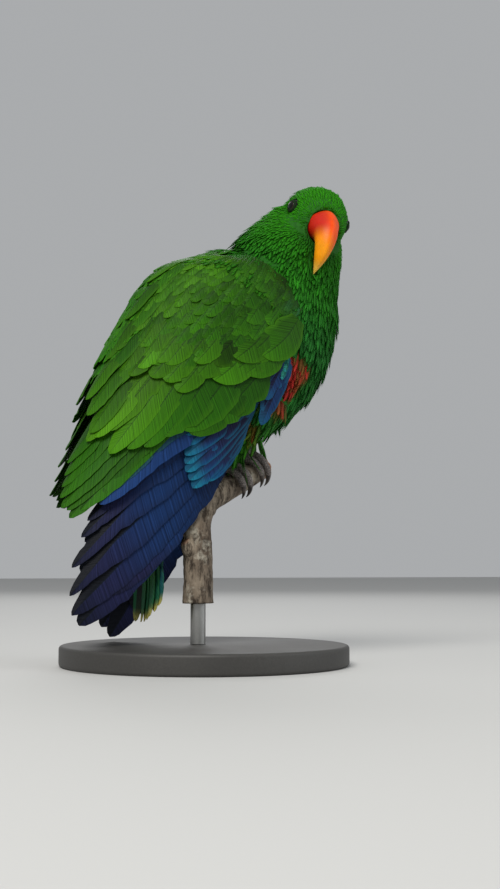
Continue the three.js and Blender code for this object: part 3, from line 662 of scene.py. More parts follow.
class Vane:
    """One large feather's grid on a chart. Its outer edge stands over the next feather outwards."""

    THICKNESS = 0.28
    OVERLAP = 0.95
    ROOT_WIDTH, ROOT_SHARE = 0.5, 0.32
    SHAFT_HEIGHT, SHAFT_WIDTH = 0.3, 0.09
    WAVER, BEND = 0.03, 0.35
    SPLIT_FROM, SPLIT_DEPTH = 0.2, 0.16
    CREASE = 50

    def __init__(self, rows, columns, round_from, splits, camber=0.5):
        self.rows, self.columns, self.round_from = rows, columns, round_from
        self.splits, self.camber = splits, camber
        shift = (rows + 1) * (columns + 1)
        index = np.arange(shift).reshape(rows + 1, columns + 1)
        top = np.stack([index[:-1, :-1], index[:-1, 1:], index[1:, 1:], index[1:, :-1]], -1).reshape(-1, 4)
        rim = np.concatenate([index[0, :], index[1:, -1], index[-1, -2::-1], index[-2:0:-1, 0]])
        after = np.roll(rim, -1)
        edge = np.stack([after, rim, rim + shift, after + shift], -1)
        self.quads = np.concatenate([top, top[:, ::-1] + shift, edge])

    def width_share(self, t):
        """The share of the full half width at each place along the vane: narrow root, rounded tip."""
        root = lerp(self.ROOT_WIDTH, 1.0, smoothstep(t, 0, self.ROOT_SHARE))
        past = (np.clip(t - self.round_from, 0, 1) / (1 - self.round_from)) ** 2
        return root * np.sqrt(np.clip(1 - past, 0.0008, 1))

    def grow(self, sheaf, chart, side, root, tip, colours, rng, half_width, pitch, bow=0):
        """Adds a feather to the sheaf. Root and tip are chart places with a lift; the pitch is the distance
        to the next feather; the colours of outer vane, inner vane and rim can be functions of places."""
        rows, columns = self.rows, self.columns
        v = np.linspace(-1, 1, columns + 1)
        t = 1 - (1 - np.linspace(0, 1, rows + 1)[:, None]) ** 1.35
        run, drift = tip[0] - root[0], tip[1] - root[1]
        length = math.hypot(run, drift)
        share = self.width_share(t)
        reach = half_width * share * v * (1 + self.WAVER * rng.standard_normal((rows + 1, 1)) * np.abs(v))
        flap = np.zeros_like(reach)
        for _ in range(rng.integers(0, self.splits + 1)):
            row = rng.integers(int(rows * 0.35), int(rows * 0.92))
            half = -1 if rng.random() < 0.5 else 1
            depth = np.clip((half * v - self.SPLIT_FROM) / (1 - self.SPLIT_FROM), 0, 1)
            reach[row] *= 1 - self.SPLIT_DEPTH * depth
            flap[row] -= 0.5 * depth
            flap[min(row + 1, rows)] += 0.35 * depth
        bend = self.BEND * rng.standard_normal()
        lift = (lerp(root[2], tip[2], smoothstep(t, 0, 0.6)) + self.OVERLAP / pitch * reach
                - self.camber * v ** 2 * share + flap + bend * smoothstep(t, 0.5, 1)
                + self.SHAFT_HEIGHT * np.exp(-(v / self.SHAFT_WIDTH) ** 2))
        sideways = 4 * bow * t * (1 - t) + reach
        along = root[0] + run * t - sideways * drift / length
        around = root[1] + drift * t + sideways * run / length
        points = [chart(side, along, around, lift - depth).reshape(-1, 3) for depth in (0, self.THICKNESS)]
        across = np.broadcast_to((v + 1) / 2, reach.shape).ravel()
        down = np.broadcast_to(t, reach.shape).ravel()
        barb = np.stack([reach.ravel(), down * length], -1) / 100 + [0, rng.random() * 10]
        sheaf.cell += 1
        bake = [sheaf.bake_place(across * 0.48 + half, down) for half in (0.0, 0.52)]
        layers = {"Shape": np.tile(np.stack([across, down], -1), (2, 1)), "Barb": np.tile(barb, (2, 1))}
        for key, paint in zip(Sheaf.COLOURS, colours):
            paint = paint(down, across) if callable(paint) else np.broadcast_to(paint, (len(down), 3))
            layers[key] = np.tile(paint, (2, 1))
        quads = self.quads if side < 0 else self.quads[:, ::-1]
        sheaf.add(np.concatenate(points), quads, OFBake=np.concatenate(bake), **layers)


QUILL = Vane(rows=30, columns=10, round_from=0.52, splits=3)
SECONDARY = Vane(rows=30, columns=10, round_from=0.70, splits=4)
WING_COVERT = Vane(rows=16, columns=8, round_from=0.60, splits=3, camber=0.9)
LESSER_COVERT = Vane(rows=9, columns=6, round_from=0.45, splits=2, camber=1.1)
MANTLE = Vane(rows=10, columns=6, round_from=0.45, splits=2, camber=0.8)
TAIL_LONG = Vane(rows=26, columns=10, round_from=0.80, splits=3)
TAIL_COVERT = Vane(rows=14, columns=8, round_from=0.55, splits=2, camber=0.9)


def wing_feathers(side, droop, name, rng):
    """All the feathers of a folded wing, tier by tier, innermost feather first."""
    flight, small = Sheaf(cells_across=6), Sheaf(cells_across=20)
    grow_quills(flight, side, droop, rng)
    grow_large_coverts(small, side, rng)
    grow_hand_coverts(small, side, droop, rng)
    grow_lesser_coverts(small, side, rng)
    grow_edges(small, side, rng)
    wing = f"wing_{name}"
    flight.piece(f"{wing}_flight_feathers", FLIGHT, "wing_feathers", wing, Vane.CREASE)
    small.piece(f"{wing}_coverts", COVERT, "wing_feathers", wing, Vane.CREASE)


def green_tones(edge, dark, light):
    """Outer vane, darker inner vane and paler rim of a green feather."""
    return edge, edge * dark, mix(edge, GREEN_WING_LIGHT, light)


def grow_quills(sheaf, side, droop, rng):
    """Ten primaries, which hang a little open, and ten secondaries over them."""
    def primary_tone(t, u):
        blue = mix(BLUE_PRIMARY, BLUE_VIOLET, smoothstep(t, 0.55, 0.85))
        return mix(blue, INK, smoothstep(t, 0.86, 1.0) * 0.6)

    for i, t in shares(10):
        along, around = on_line([WRIST, HAND_TIP], 0.1 + 0.9 * t)
        tip = PRIMARY_TIPS[i]
        QUILL.grow(sheaf, wing_chart, side, (along, around - 3 + droop * 0.2, -5),
                   (tip[0] - droop * 0.35, tip[1] + droop, -7 + droop * 0.35),
                   (primary_tone, INK, INK * 1.5), rng, half_width=8.2, pitch=3.6, bow=3)
    for i, t in shares(10):
        root, tip = on_line([ELBOW, WRIST], 0.96 * t), on_line(SECONDARY_TIPS, t)
        edge = vary(mix(GREEN_WING, BLUE_PRIMARY, smoothstep(t, 0.8, 0.95)), rng)
        dark = mix(GREEN_WING * 0.7, INK, smoothstep(t, 0.4, 0.9) * 0.8)
        rim = mix(edge, GREEN_WING_LIGHT, 0.5 * (1 - smoothstep(t, 0.7, 0.9)))
        SECONDARY.grow(sheaf, wing_chart, side, (*root, -4.6),
                       (tip[0] - droop * 0.4 + 3 * rng.standard_normal(), tip[1], -2.8),
                       (edge, dark, rim), rng, half_width=9.0, pitch=4.8, bow=2)


def grow_large_coverts(sheaf, side, rng):
    """One tier of greater coverts and two of median coverts."""
    for i, t in shares(10):
        root, tip = on_line(GREATER_ROOTS, t), on_line(GREATER_TIPS, t)
        edge = vary(mix(GREEN_WING_LIGHT, GREEN_WING, smoothstep(t, 0.1, 0.6)), rng)
        tip = (tip[0] + 3.5 * rng.standard_normal(), tip[1], 0.3)
        WING_COVERT.grow(sheaf, wing_chart, side, (*root, -2.6), tip, green_tones(edge, 0.8, 0.5), rng,
                         half_width=8.0, pitch=5.6, bow=2)
    for i in range(20):
        upper = i >= 10
        t = (i % 10 + 0.5 * upper) / 9.5
        along, around = on_line(MEDIAN_TIPS, t)
        along = along - lerp(15, 9, t) * upper + 2.5 * rng.standard_normal()
        around = around + rng.standard_normal()
        edge = vary(mix(GREEN_WING_LIGHT, GREEN_WING, 0.35 + 0.5 * t), rng, 0.2)
        WING_COVERT.grow(sheaf, wing_chart, side, (along - 34, around + lerp(2, 7, t), -2.2 + 0.3 * upper),
                         (along, around, 1.5 + 0.4 * upper), green_tones(edge, 0.85, 0.6), rng,
                         half_width=7.0, pitch=7.5, bow=1)


def grow_hand_coverts(sheaf, side, droop, rng):
    """Navy primary coverts with turquoise ends, and the feathers of the small thumb in front of them."""
    for i, t in shares(9):
        root, tip = on_line(PRIMARY_COVERT_ROOTS, t), on_line(PRIMARY_COVERT_TIPS, t)
        blue = vary(BLUE_COVERT, rng)

        def tone(down, u, blue=blue, turquoise=0.5 + 0.4 * smoothstep(t, 0.1, 0.5)):
            lit = smoothstep(down, 0.45, 0.95) * (0.15 + 0.6 * smoothstep(u, 0.55, 0.9))
            return mix(mix(BLUE_VIOLET, blue, lit), TURQUOISE, smoothstep(down, 0.82, 1.0) * turquoise)

        WING_COVERT.grow(sheaf, wing_chart, side, (root[0], root[1] + droop * 0.1, -3.6),
                         (tip[0], tip[1] + droop * 0.5, -2.4 + droop * 0.1),
                         (tone, blue * 0.2, mix(blue, TURQUOISE, 0.6)), rng, half_width=3.7, pitch=2.6, bow=1)
    for i, t in shares(5):
        tone = mix(mix(BLUE_COVERT, BLUE_VIOLET, 0.6), mix(TURQUOISE, GREEN_BREAST, 0.4), 0.7 * (i == 0))
        WING_COVERT.grow(sheaf, shoulder_chart, side, (20 + 6 * t, 96 + 3 * t, -3.4),
                         (58 + 28 * t, 95 + 7 * t, 0.2),
                         (tone, BLUE_VIOLET * 0.7, mix(TURQUOISE, BLUE_COVERT, 0.5)), rng,
                         half_width=3.9, pitch=5)


def grow_lesser_coverts(sheaf, side, rng):
    """Rows of small coverts that shrink and close up towards the shoulder."""
    rows, closing, depth = 13, 1.25, 80
    for row in range(rows, 0, -1):
        share = (row / rows) ** closing
        step = (share - ((row - 1) / rows) ** closing) * depth
        gap = min(max(0.95 * step, 3.2), 7.2)
        around = 15 + gap * 0.5 * (row % 2)
        while around < 95:
            line = lerp(np.interp(around, *SHOULDER_LINE), np.interp(around, *LESSER_LINE), share)
            front = smoothstep(around, 86, 95)
            size = lerp(gap, 0.6 * gap, front)
            light = (0.10 + 0.45 * (1 - smoothstep(around, 20, 70))) * (0.4 + rng.random())
            base = mix(mix(GREEN_WING, GREEN_WING_LIGHT, light), TURQUOISE, front * 0.15 * rng.random())
            edge = vary(base, rng, 0.18)
            along = line + 0.12 * step * rng.standard_normal()
            beside = around + 0.10 * gap * rng.standard_normal()
            LESSER_COVERT.grow(sheaf, shoulder_chart, side, (along - 2.4 * step - 6, beside + 1.5, -1.9),
                               (along, beside, 1.5), green_tones(edge, 0.88, 0.4), rng,
                               half_width=0.82 * size, pitch=7.5)
            around += size


def grow_edges(sheaf, side, rng):
    """The turquoise rim of the wing's bend, and three lanes of scapulars along the spine."""
    for i, t in shares(16):
        along, around = lerp(56, 20, t), lerp(100.5, 96.5, t)
        tone = vary(mix(TURQUOISE, GREEN_BREAST, 0.35 + 0.4 * rng.random()), rng)
        LESSER_COVERT.grow(sheaf, shoulder_chart, side, (along - 12, around - 1.5, -1.4),
                           (along, around, 0.9), (tone, mix(TURQUOISE, GREEN_BREAST, 0.6), TURQUOISE), rng,
                           half_width=1.5, pitch=5)
    for i, t in shares(12):
        lane = i % 3
        along, around = lerp(40, 140, t), lerp(10, 15, t) + 7 * lane
        edge = vary(mix(GREEN_WING, GREEN_WING_LIGHT, 0.4 * rng.random()), rng)
        WING_COVERT.grow(sheaf, shoulder_chart, side, (along - 52, around + 9, -2.6),
                         (along, around, 2.2 - 0.5 * lane), green_tones(edge, 0.85, 0.5), rng,
                         half_width=7.6, pitch=8, bow=1)


def mantle_feathers(rng):
    """Feathers of the mantle and back, which roof the space between the folded wings."""
    sheaf = Sheaf(cells_across=16)
    rows = 18
    for row in range(rows, -1, -1):
        t = row / rows
        gap = lerp(4.2, 6.4, t)
        count = int(lerp(36, 24, smoothstep(t, 0.0, 0.3)) / gap)
        for place in range(-count, count + 1):
            middle = (place + 0.5 * (row % 2)) * gap
            along = lerp(5, 144, t) + 1.5 * rng.standard_normal()
            around = middle + 0.5 * rng.standard_normal()
            edge = vary(mix(GREEN_BACK, GREEN_WING_LIGHT, 0.30 * rng.random()), rng, 0.16)
            start = along - lerp(14, 26, t)
            low, high = (np.interp(end, *RUMP_DROP) for end in (start, along))
            MANTLE.grow(sheaf, shoulder_chart, -1, (start, around * 0.96, -2.6 - low),
                        (along, around, 2.2 - 0.032 * abs(middle) - high), green_tones(edge, 0.9, 0.4), rng,
                        half_width=0.84 * gap, pitch=9)
    sheaf.piece("mantle_feathers", COVERT, "wing_feathers", crease=Vane.CREASE)


def tail_feathers(rng):
    """Six pairs of long feathers with yellow ends, and the coverts over and under them."""
    sheaf = Sheaf(cells_across=6)

    def yellow_end(colour, t):
        return mix(colour, TAIL_YELLOW, smoothstep(t, 0.93, 0.985))

    def under_tone(t, u):
        return mix(INK, TAIL_YELLOW * 0.8, smoothstep(t, 0.93, 0.985))

    for side in (1, -1):
        for i, t in shares(6):
            base = mix(GREEN_BACK, TAIL_BLUE, smoothstep(i, 3.5, 5.5))

            def tone(down, u, base=base):
                return yellow_end(mix(base, TAIL_BLUE, smoothstep(down, 0.6, 0.9) * 0.5), down)

            TAIL_LONG.grow(sheaf, tail_chart, -side, (10, 2 + 1.2 * i, -4),
                           (lerp(109, 99, t * t), 6.4 + 3.1 * i, -1 - 0.1 * i),
                           (tone, under_tone, GREEN_BACK), rng, half_width=6.2, pitch=3.1)
        for i, t in shares(5):
            colours = green_tones(vary(GREEN_BACK, rng), 0.8, 0.4)
            TAIL_COVERT.grow(sheaf, tail_chart, -side, (2, 1.5 + 2 * i, -4),
                             (lerp(56, 40, t), 5.5 + 3.6 * i, 1), colours, rng, half_width=5.4, pitch=5)
        for i, t in shares(3):
            edge = vary(GREEN_BREAST, rng)
            TAIL_COVERT.grow(sheaf, tail_chart, -side, (6, 2 + 3 * i, -12), (lerp(50, 42, t), 6 + 4 * i, -8),
                             (edge, edge * 0.8, edge), rng, half_width=5.4, pitch=6)
    sheaf.piece("tail_feathers", FLIGHT, "tail_feathers", "tail", Vane.CREASE)


def read(items, key, width, kind=float):
    """One attribute of all the items of a mesh, a row for each item."""
    values = np.zeros(len(items) * width, kind)
    items.foreach_get(key, values)
    return values.reshape(-1, width)


def unwrap(piece, map_name):
    """Unwraps the piece's own shape into one UV map of the name given."""
    mesh = piece.data
    while mesh.uv_layers:
        mesh.uv_layers.remove(mesh.uv_layers[0])
    mesh.uv_layers.new(name=map_name)
    bpy.context.view_layer.objects.active = piece
    piece.select_set(True)
    bpy.ops.object.mode_set(mode="EDIT")
    bpy.ops.mesh.select_all(action="SELECT")
    bpy.ops.uv.smart_project(angle_limit=math.radians(66), island_margin=0.004)
    bpy.ops.object.mode_set(mode="OBJECT")
    piece.select_set(False)


def make_skin():
    """One smooth skin through head, neck, torso and thighs, sunk by the coat's depth."""
    names = ("head", "neck", "torso", "thigh_left", "thigh_right")
    points, faces, count = [], [], 0
    for name in names:
        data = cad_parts[name].data
        points.append(read(data.vertices, "co", 3))
        faces += [[i + count for i in p.vertices] for p in data.polygons]
        count += len(data.vertices)
    rough = bpy.data.meshes.new("rough_skin")
    rough.from_pydata(np.concatenate(points).tolist(), [], faces)
    rough_object = add_object("rough_skin", rough)
    remesh = rough_object.modifiers.new("remesh", "REMESH")
    remesh.mode = "VOXEL"
    remesh.voxel_size = SKIN_VOXEL * MM
    soften = rough_object.modifiers.new("soften", "SMOOTH")
    soften.factor = 0.6
    soften.iterations = 8
    sink = rough_object.modifiers.new("sink", "DISPLACE")
    sink.strength = -COAT_DEPTH * MM
    sink.mid_level = 0.0
    mesh = bpy.data.meshes.new_from_object(rough_object.evaluated_get(bpy.context.evaluated_depsgraph_get()))
    bpy.data.objects.remove(rough_object)
    mesh.name = "skin"
    mesh.materials.clear()
    mesh.materials.append(SKIN)
    shade_smooth(mesh)
    skin = add_object("skin", mesh)
    unwrap(skin, "OFBake")
    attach(skin, "root")
    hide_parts(*names)
    return skin


class SkinSampler:
    """Places on the skin: point, outward normal and place on the skin's own unwrap."""

    TRY_AREA = 0.25
    CELL = 4.5

    def __init__(self, skin):
        mesh = skin.data
        mesh.calc_loop_triangles()
        corners = read(mesh.loop_triangles, "vertices", 3, np.int32)
        self.co = read(mesh.vertices, "co", 3)[corners] / MM
        self.normals = read(mesh.vertices, "normal", 3)[corners]
        loops = read(mesh.loop_triangles, "loops", 3, np.int32)
        self.uv = read(mesh.uv_layers["OFBake"].data, "uv", 2)[loops]
        a, b, c = (self.co[:, k] for k in range(3))
        self.area = np.linalg.norm(np.cross(b - a, c - a), axis=1) / 2

    def scatter(self, spacing, rng):
        """Evenly spread places; spacing gives the least distance at each point and normal, or 0 for none."""
        tries = int(self.area.sum() / self.TRY_AREA)
        picks = rng.choice(len(self.area), tries, p=self.area / self.area.sum())
        a, b = rng.random(tries), rng.random(tries)
        flip = a + b > 1
        a[flip], b[flip] = 1 - a[flip], 1 - b[flip]
        share = np.stack([1 - a - b, a, b], -1)[..., None]
        points, uv = (self.co[picks] * share).sum(1), (self.uv[picks] * share).sum(1)
        normals = unit((self.normals[picks] * share).sum(1))
        gaps = spacing(points, normals)
        keys = np.floor(points / self.CELL).astype(int)
        grid, chosen = {}, []
        for k in np.flatnonzero(gaps > 0):
            point, gap, key = points[k], gaps[k], tuple(keys[k])
            near = [grid.get((key[0] + x, key[1] + y, key[2] + z), ())
                    for x in (-1, 0, 1) for y in (-1, 0, 1) for z in (-1, 0, 1)]
            if any((point[0] - q[0]) ** 2 + (point[1] - q[1]) ** 2 + (point[2] - q[2]) ** 2 < gap * gap
                   for group in near for q in group):
                continue
            grid.setdefault(key, []).append(point)
            chosen.append(k)
        return points[chosen], normals[chosen], uv[chosen]


def nearness(points, place, inner, outer):
    """1 within the inner distance of a place, 0 past the outer one."""
    return 1 - smoothstep(np.linalg.norm(points - place, axis=1), inner, outer)


def body_share(points):
    """0 at the middle of the head, 1 where the neck meets the body, and more further down."""
    axis = NECK_AXIS_END - HEAD_CENTRE
    return (points - HEAD_CENTRE) @ axis / (axis @ axis)


def thigh_share(points):
    """1 on the thighs below the belly, 0 elsewhere."""
    return smoothstep(points[:, 2], 158, 140) * smoothstep(points[:, 0], 12, 22)


def lie_of_feathers(points, normals):
    """The way the feathers point: away from the beak, down the neck, and down the body's slope."""
    def on_skin(way):
        return way - normals * (way * normals).sum(-1, keepdims=True)

    from_beak = on_skin(unit(points - BEAK_ROOT))
    down_neck = on_skin(np.broadcast_to(unit(NECK_AXIS_END - HEAD_CENTRE), points.shape))
    t = body_share(points)
    behind = -unit(points - HEAD_CENTRE) @ GAZE
    head = mix(from_beak, down_neck, np.maximum(smoothstep(t, 0.0, 0.5), smoothstep(behind, -0.1, 0.75)))
    body = mix((-0.30, 0.0, -0.95), SLOPE_DOWN, smoothstep((points - SHOULDER) @ SLOPE_BACK, -50, 0))
    outwards = np.where(points[:, 1] < BODY_PLANE, -0.16, 0.16)
    legs = np.stack([np.full(len(points), -0.30), outwards, np.full(len(points), -0.94)], -1)
    body = mix(body, legs, thigh_share(points))
    return unit(on_skin(mix(head, body, smoothstep(t, 0.7, 1.3))))


def coat_sizes(points):
    """Space, length, half width and rise in degrees of the small feathers at each point."""
    t = body_share(points)
    near_eye = np.maximum(*(nearness(points, eye_centre(side), 5.5, 9) for side in (1, -1)))
    near_beak = np.maximum(nearness(points, BEAK_ROOT, 10, 30), near_eye)
    away = points - HEAD_CENTRE
    ear = (smoothstep(-(away @ GAZE), 0, 8) * smoothstep(np.abs(away @ HEAD_RIGHT), 7, 13)
           * (1 - smoothstep(t, 0.4, 0.9)))
    face, beak, neck, body, thigh = (np.array(sizes)[:, None] for sizes in SMALL_FEATHERS.values())
    head = lerp(face, beak, near_beak)
    sizes = lerp(lerp(neck, body, smoothstep(t, 0.5, 1.4)), head, 1 - smoothstep(t, 0.1, 0.6))
    space, length, width, rise = lerp(sizes, thigh, thigh_share(points))
    return space, length * (1 + 0.4 * ear), width, rise * (1 + 0.8 * ear + 1.2 * near_eye)


def coat_space(points, normals):
    """The space between small feathers, or 0 on bare skin: eyes, chin, wing pits and under the thighs."""
    along, around, _ = wing_place(points)
    hidden = ((along > HIDDEN_ALONG[0]) & (along < HIDDEN_ALONG[1])
              & (around > HIDDEN_AROUND[0]) & (around < HIDDEN_AROUND[1]))
    eyes = [np.linalg.norm(points - eye_centre(side), axis=1) for side in (1, -1)]
    chin = np.linalg.norm(points - head_point(*LOWER_BEAK_SEAT), axis=1)
    bare = (np.minimum(*eyes) < EYE_RADIUS - 0.2) | (chin < LOWER_BEAK_BARE) | hidden
    bare |= (thigh_share(points) > 0.5) & (normals[:, 2] < -0.6)
    return np.where(bare, 0, coat_sizes(points)[0])


def flank_red(points):
    """How red the feathers are: two patches just in front of the wing's edge."""
    along, around, out = wing_place(points)
    patches = np.maximum(window(along, 26, 36, 60, 68), window(along, 72, 82, 104, 116))
    return window(around, 90, 97, 110, 120) * patches * (out > 10)


def coat_colour(points, rng):
    t, thigh = body_share(points), thigh_share(points)
    colour = mix(GREEN_HEAD, GREEN_NECK, smoothstep(t, 0.1, 0.6))
    body = mix(GREEN_BACK, GREEN_BREAST, smoothstep((points - SHOULDER) @ SLOPE_BACK, -5, -45))
    colour = mix(mix(colour, body, smoothstep(t, 0.6, 1.2)), GREEN_THIGH, thigh * 0.8)
    # Painted shade: feathers near the beak's base darkened, where the beak shades them
    colour = mix(colour, GREEN_BEAK_SHADE, nearness(points, BEAK_BASE, 9, 20) * 0.6)
    red = np.clip(flank_red(points) * (1 - thigh) * (0.5 + 1.3 * rng.random(len(points))), 0, 1)
    colour = mix(colour, RED_FLANK, red)
    uneven = lerp(0.10, 0.20, smoothstep(t, 0.2, 0.9)) * rng.standard_normal(len(points))
    return colour * (1 + uneven)[:, None].clip(0.5, 1.6)


def tuft_shape(strands):
    """A small cambered feather of unit length and half width, with loose strands past its rim."""
    rows = [(0.0, 0.35), (0.34, 0.92), (0.66, 0.95), (0.90, 0.50)]
    points = []
    for t, w in rows:
        points += [(-w, t, 0.0), (0.0, t, 0.22), (w, t, 0.0), (0.0, t, 0.04)]
    points.append((0.0, 0.98, 0.06))
    quads = np.concatenate([tube_faces(len(rows), 4), [[3, 2, 1, 0]]])
    tip = cap_faces(4 * (len(rows) - 1), 4, len(points) - 1, turned=False)
    spikes = []
    for x in np.linspace(-1, 1, strands):
        start, reach, half, foot = 0.62 - 0.25 * x * x, 1.16 - 0.26 * x * x, 0.10, x * 0.86
        k = len(points)
        points += [(foot - half, start, 0.05), (foot + half, start, 0.05), (foot, start + 0.06, 0.24),
                   (x * 1.08, reach, 0.08)]
        spikes += [(k, k + 2, k + 1), (k, k + 1, k + 3), (k + 1, k + 2, k + 3), (k + 2, k, k + 3)]
    return np.array(points), quads, np.concatenate([tip, np.array(spikes)])


def make_coat(name, roots, normals, way, uv, sizes, tone, rng, strands=6):
    """Small feathers at the places given, joined in one piece. Sizes hold length, half width and rise."""
    shape, quads, triangles = tuft_shape(strands)
    count = len(roots)
    length, width, rise = sizes
    turn = math.radians(8) * rng.standard_normal(count)
    way = way * np.cos(turn)[:, None] + unit(np.cross(way, normals)) * np.sin(turn)[:, None]
    across = unit(np.cross(way, normals))
    length = (length * (1 + 0.14 * rng.standard_normal(count)).clip(0.6, 1.5))[:, None]
    width = (width * (1 + 0.10 * rng.standard_normal(count)).clip(0.6, 1.4))[:, None]
    rise = np.radians(rise + 2.5 * rng.standard_normal(count)).clip(0.03, 0.5)[:, None]
    x, y, z = shape.T
    strand_end = y > 0.99
    wander = 0.10 * rng.standard_normal((count, len(x))) * strand_end
    lift = np.sin(rise) * length * (y - 0.36 * y ** 2) + (0.36 * z + wander) * width - 0.3
    steps = ((across, (x + 2 * wander) * width), (way, y * length), (normals, lift))
    points = roots[:, None] + sum(direction[:, None] * size[..., None] for direction, size in steps)
    bake = uv[:, None] + PATCH_HALF * np.stack([x, (y - 0.5) * 1.6], -1)
    barb = np.stack([x * width, y * length], -1) / 100 + rng.random((count, 1, 1)) * 7
    # Painted shade: each tuft is darker towards its root, where the tufts above overlap and shade it
    tones_with_root_shade = tone[:, None] * lerp(0.66, 1.12, y)[:, None]
    offsets = (np.arange(count) * len(shape))[:, None, None]
    faces = [(quads + offsets).reshape(-1, 4), (triangles + offsets).reshape(-1, 3)]
    new_piece(name, points.reshape(-1, 3), faces, COAT, "plumage", colours={"Tone": tones_with_root_shade.reshape(-1, 3)},
              uvs={"OFBake": bake.reshape(-1, 2), "Barb": barb.reshape(-1, 2)})


def shoulder_feathers(skin_points, skin_uv, rng):
    """Feathers like the neck's, laid over the upper edge of each folded wing."""
    tree = KDTree(len(skin_points))
    for k, point in enumerate(skin_points):
        tree.insert(point, k)
    tree.balance()
    reach, gap = 20, 2.1
    for side, name in ((-1, "right"), (1, "left")):
        grid = [(gap * row, spot) for row in range(12) for spot in np.arange(9 + 1.1 * (row % 2), 97, 2.0)]
        past, around = np.array(grid).T
        along = np.interp(around, *SHOULDER_LINE) - reach + past + 0.6 * rng.standard_normal(len(past))
        around = around + 0.5 * rng.standard_normal(len(around))
        past_line = along - np.interp(around, *SHOULDER_LINE)
        share = smoothstep(past_line, -reach, 4)
        lift = lerp(-1.8, 1.2, share)
        roots = shoulder_chart(side, along, around, lift)
        down = unit(shoulder_chart(side, along + 1, around, lift) - roots)
        out = unit(shoulder_chart(side, along, around + 1, lift) - roots)
        normals = unit(np.cross(down, out) * -side)
        nearest = [tree.find(point)[1] for point in roots]
        roots = mix(roots, skin_points[nearest], 1 - smoothstep(past_line, -reach, -8))
        tone = mix(GREEN_NECK, GREEN_WING, share * 0.8)
        tone = mix(tone, GREEN_BACK, 0.5 * (1 - smoothstep(around, 20, 60)))
        tone = tone * (1.25 + 0.2 * rng.standard_normal(len(roots)))[:, None].clip(0.7, 1.9)
        sizes = [np.full(len(roots), size) for size in SHOULDER_FEATHERS]
        make_coat(f"shoulder_feathers_{name}", roots, normals, down, skin_uv[nearest], sizes, tone, rng)


def dress_skin(skin, rng):
    """Every small feather: the bands from crown to belly, then the shoulders."""
    points, normals, uv = SkinSampler(skin).scatter(coat_space, rng)
    t = body_share(points)
    for name, (start, end, strands) in COAT_BANDS.items():
        chosen = (t >= start) & (t < end)
        places = points[chosen]
        way = lie_of_feathers(places, normals[chosen])
        make_coat(name, places, normals[chosen], way, uv[chosen], coat_sizes(places)[1:],
                  coat_colour(places, rng), rng, strands)
    shoulder_feathers(points, uv, rng)


def loft_beak(stations, steps, sides, pinch, shrink=0.0, seat=0.0):
    """Rings from ridge to cutting edge, pinched at the ridge and wider by the seat at the face."""
    rows = smooth_path(stations, steps)
    angle = turns(sides)
    narrow = 1 - pinch * np.clip(np.sin(angle), 0, 1) ** 3
    slimming = lerp(-seat, shrink, smoothstep(np.linspace(0, 1, len(rows)), 0.16, 0.34))
    rings = []
    for (ridge_forward, ridge_up, edge_forward, edge_up, half), slim in zip(rows, slimming):
        ridge = head_point(CULMEN_FORWARD + ridge_forward, 0, CULMEN_UP + ridge_up)
        edge = head_point(CULMEN_FORWARD + edge_forward, 0, CULMEN_UP + edge_up)
        out = (half - slim) * np.cos(angle) * narrow
        rise = np.sin(angle) * (1 - slim * 0.05) / 2
        rings.append((ridge + edge) / 2 + out[:, None] * HEAD_RIGHT + rise[:, None] * (ridge - edge))
    return np.array(rings), angle


def make_beak():
    """The hooked upper half, scarlet to amber with a notched cutting edge and painted shade in crimson on its
    right side, and the black lower half.
    """
    sides = 40
    rings, angle = loft_beak(UPPER_BEAK, 9, sides, 0.30, shrink=1.0, seat=0.9)
    count = len(rings)
    t = np.linspace(0, 1, count)
    below = np.clip(-np.sin(angle), 0, 1)
    notch = np.exp(-((t - 0.60) / 0.035) ** 2)[:, None] * below ** 4
    points, faces = close_loft(rings + notch[..., None] * (0.9 * HEAD_UP))
    down = np.append(np.repeat(t, sides), [0, 1])
    to_right = np.append(np.tile(np.cos(angle), count), [0, 0])
    edge = np.append(np.tile(below ** 3, count), [0, 0])
    # Painted shade: the beak's right side darkened from scarlet to crimson over its upper middle
    shaded_side = smoothstep(to_right, -0.2, 0.8) * window(down, 0.08, 0.2, 0.42, 0.6)
    tone = mix(SCARLET, BEAK_SHADE_CRIMSON, shaded_side)
    tone = mix(tone, ORANGE, smoothstep(down + 0.08 * to_right, 0.40, 0.70))
    tone = mix(tone, AMBER, smoothstep(down, 0.72, 0.96))
    tone = mix(tone, AMBER, edge * smoothstep(down, 0.25, 0.5) * 0.8)
    new_piece("upper_beak", points, faces, BEAK, "beak_orange", "beak_upper", colours={"Tone": tone})
    rings, _ = loft_beak(LOWER_BEAK, 8, 32, -0.1)
    new_piece("lower_beak", *close_loft(rings), BEAK_BLACK, "beak_black", "beak_lower")


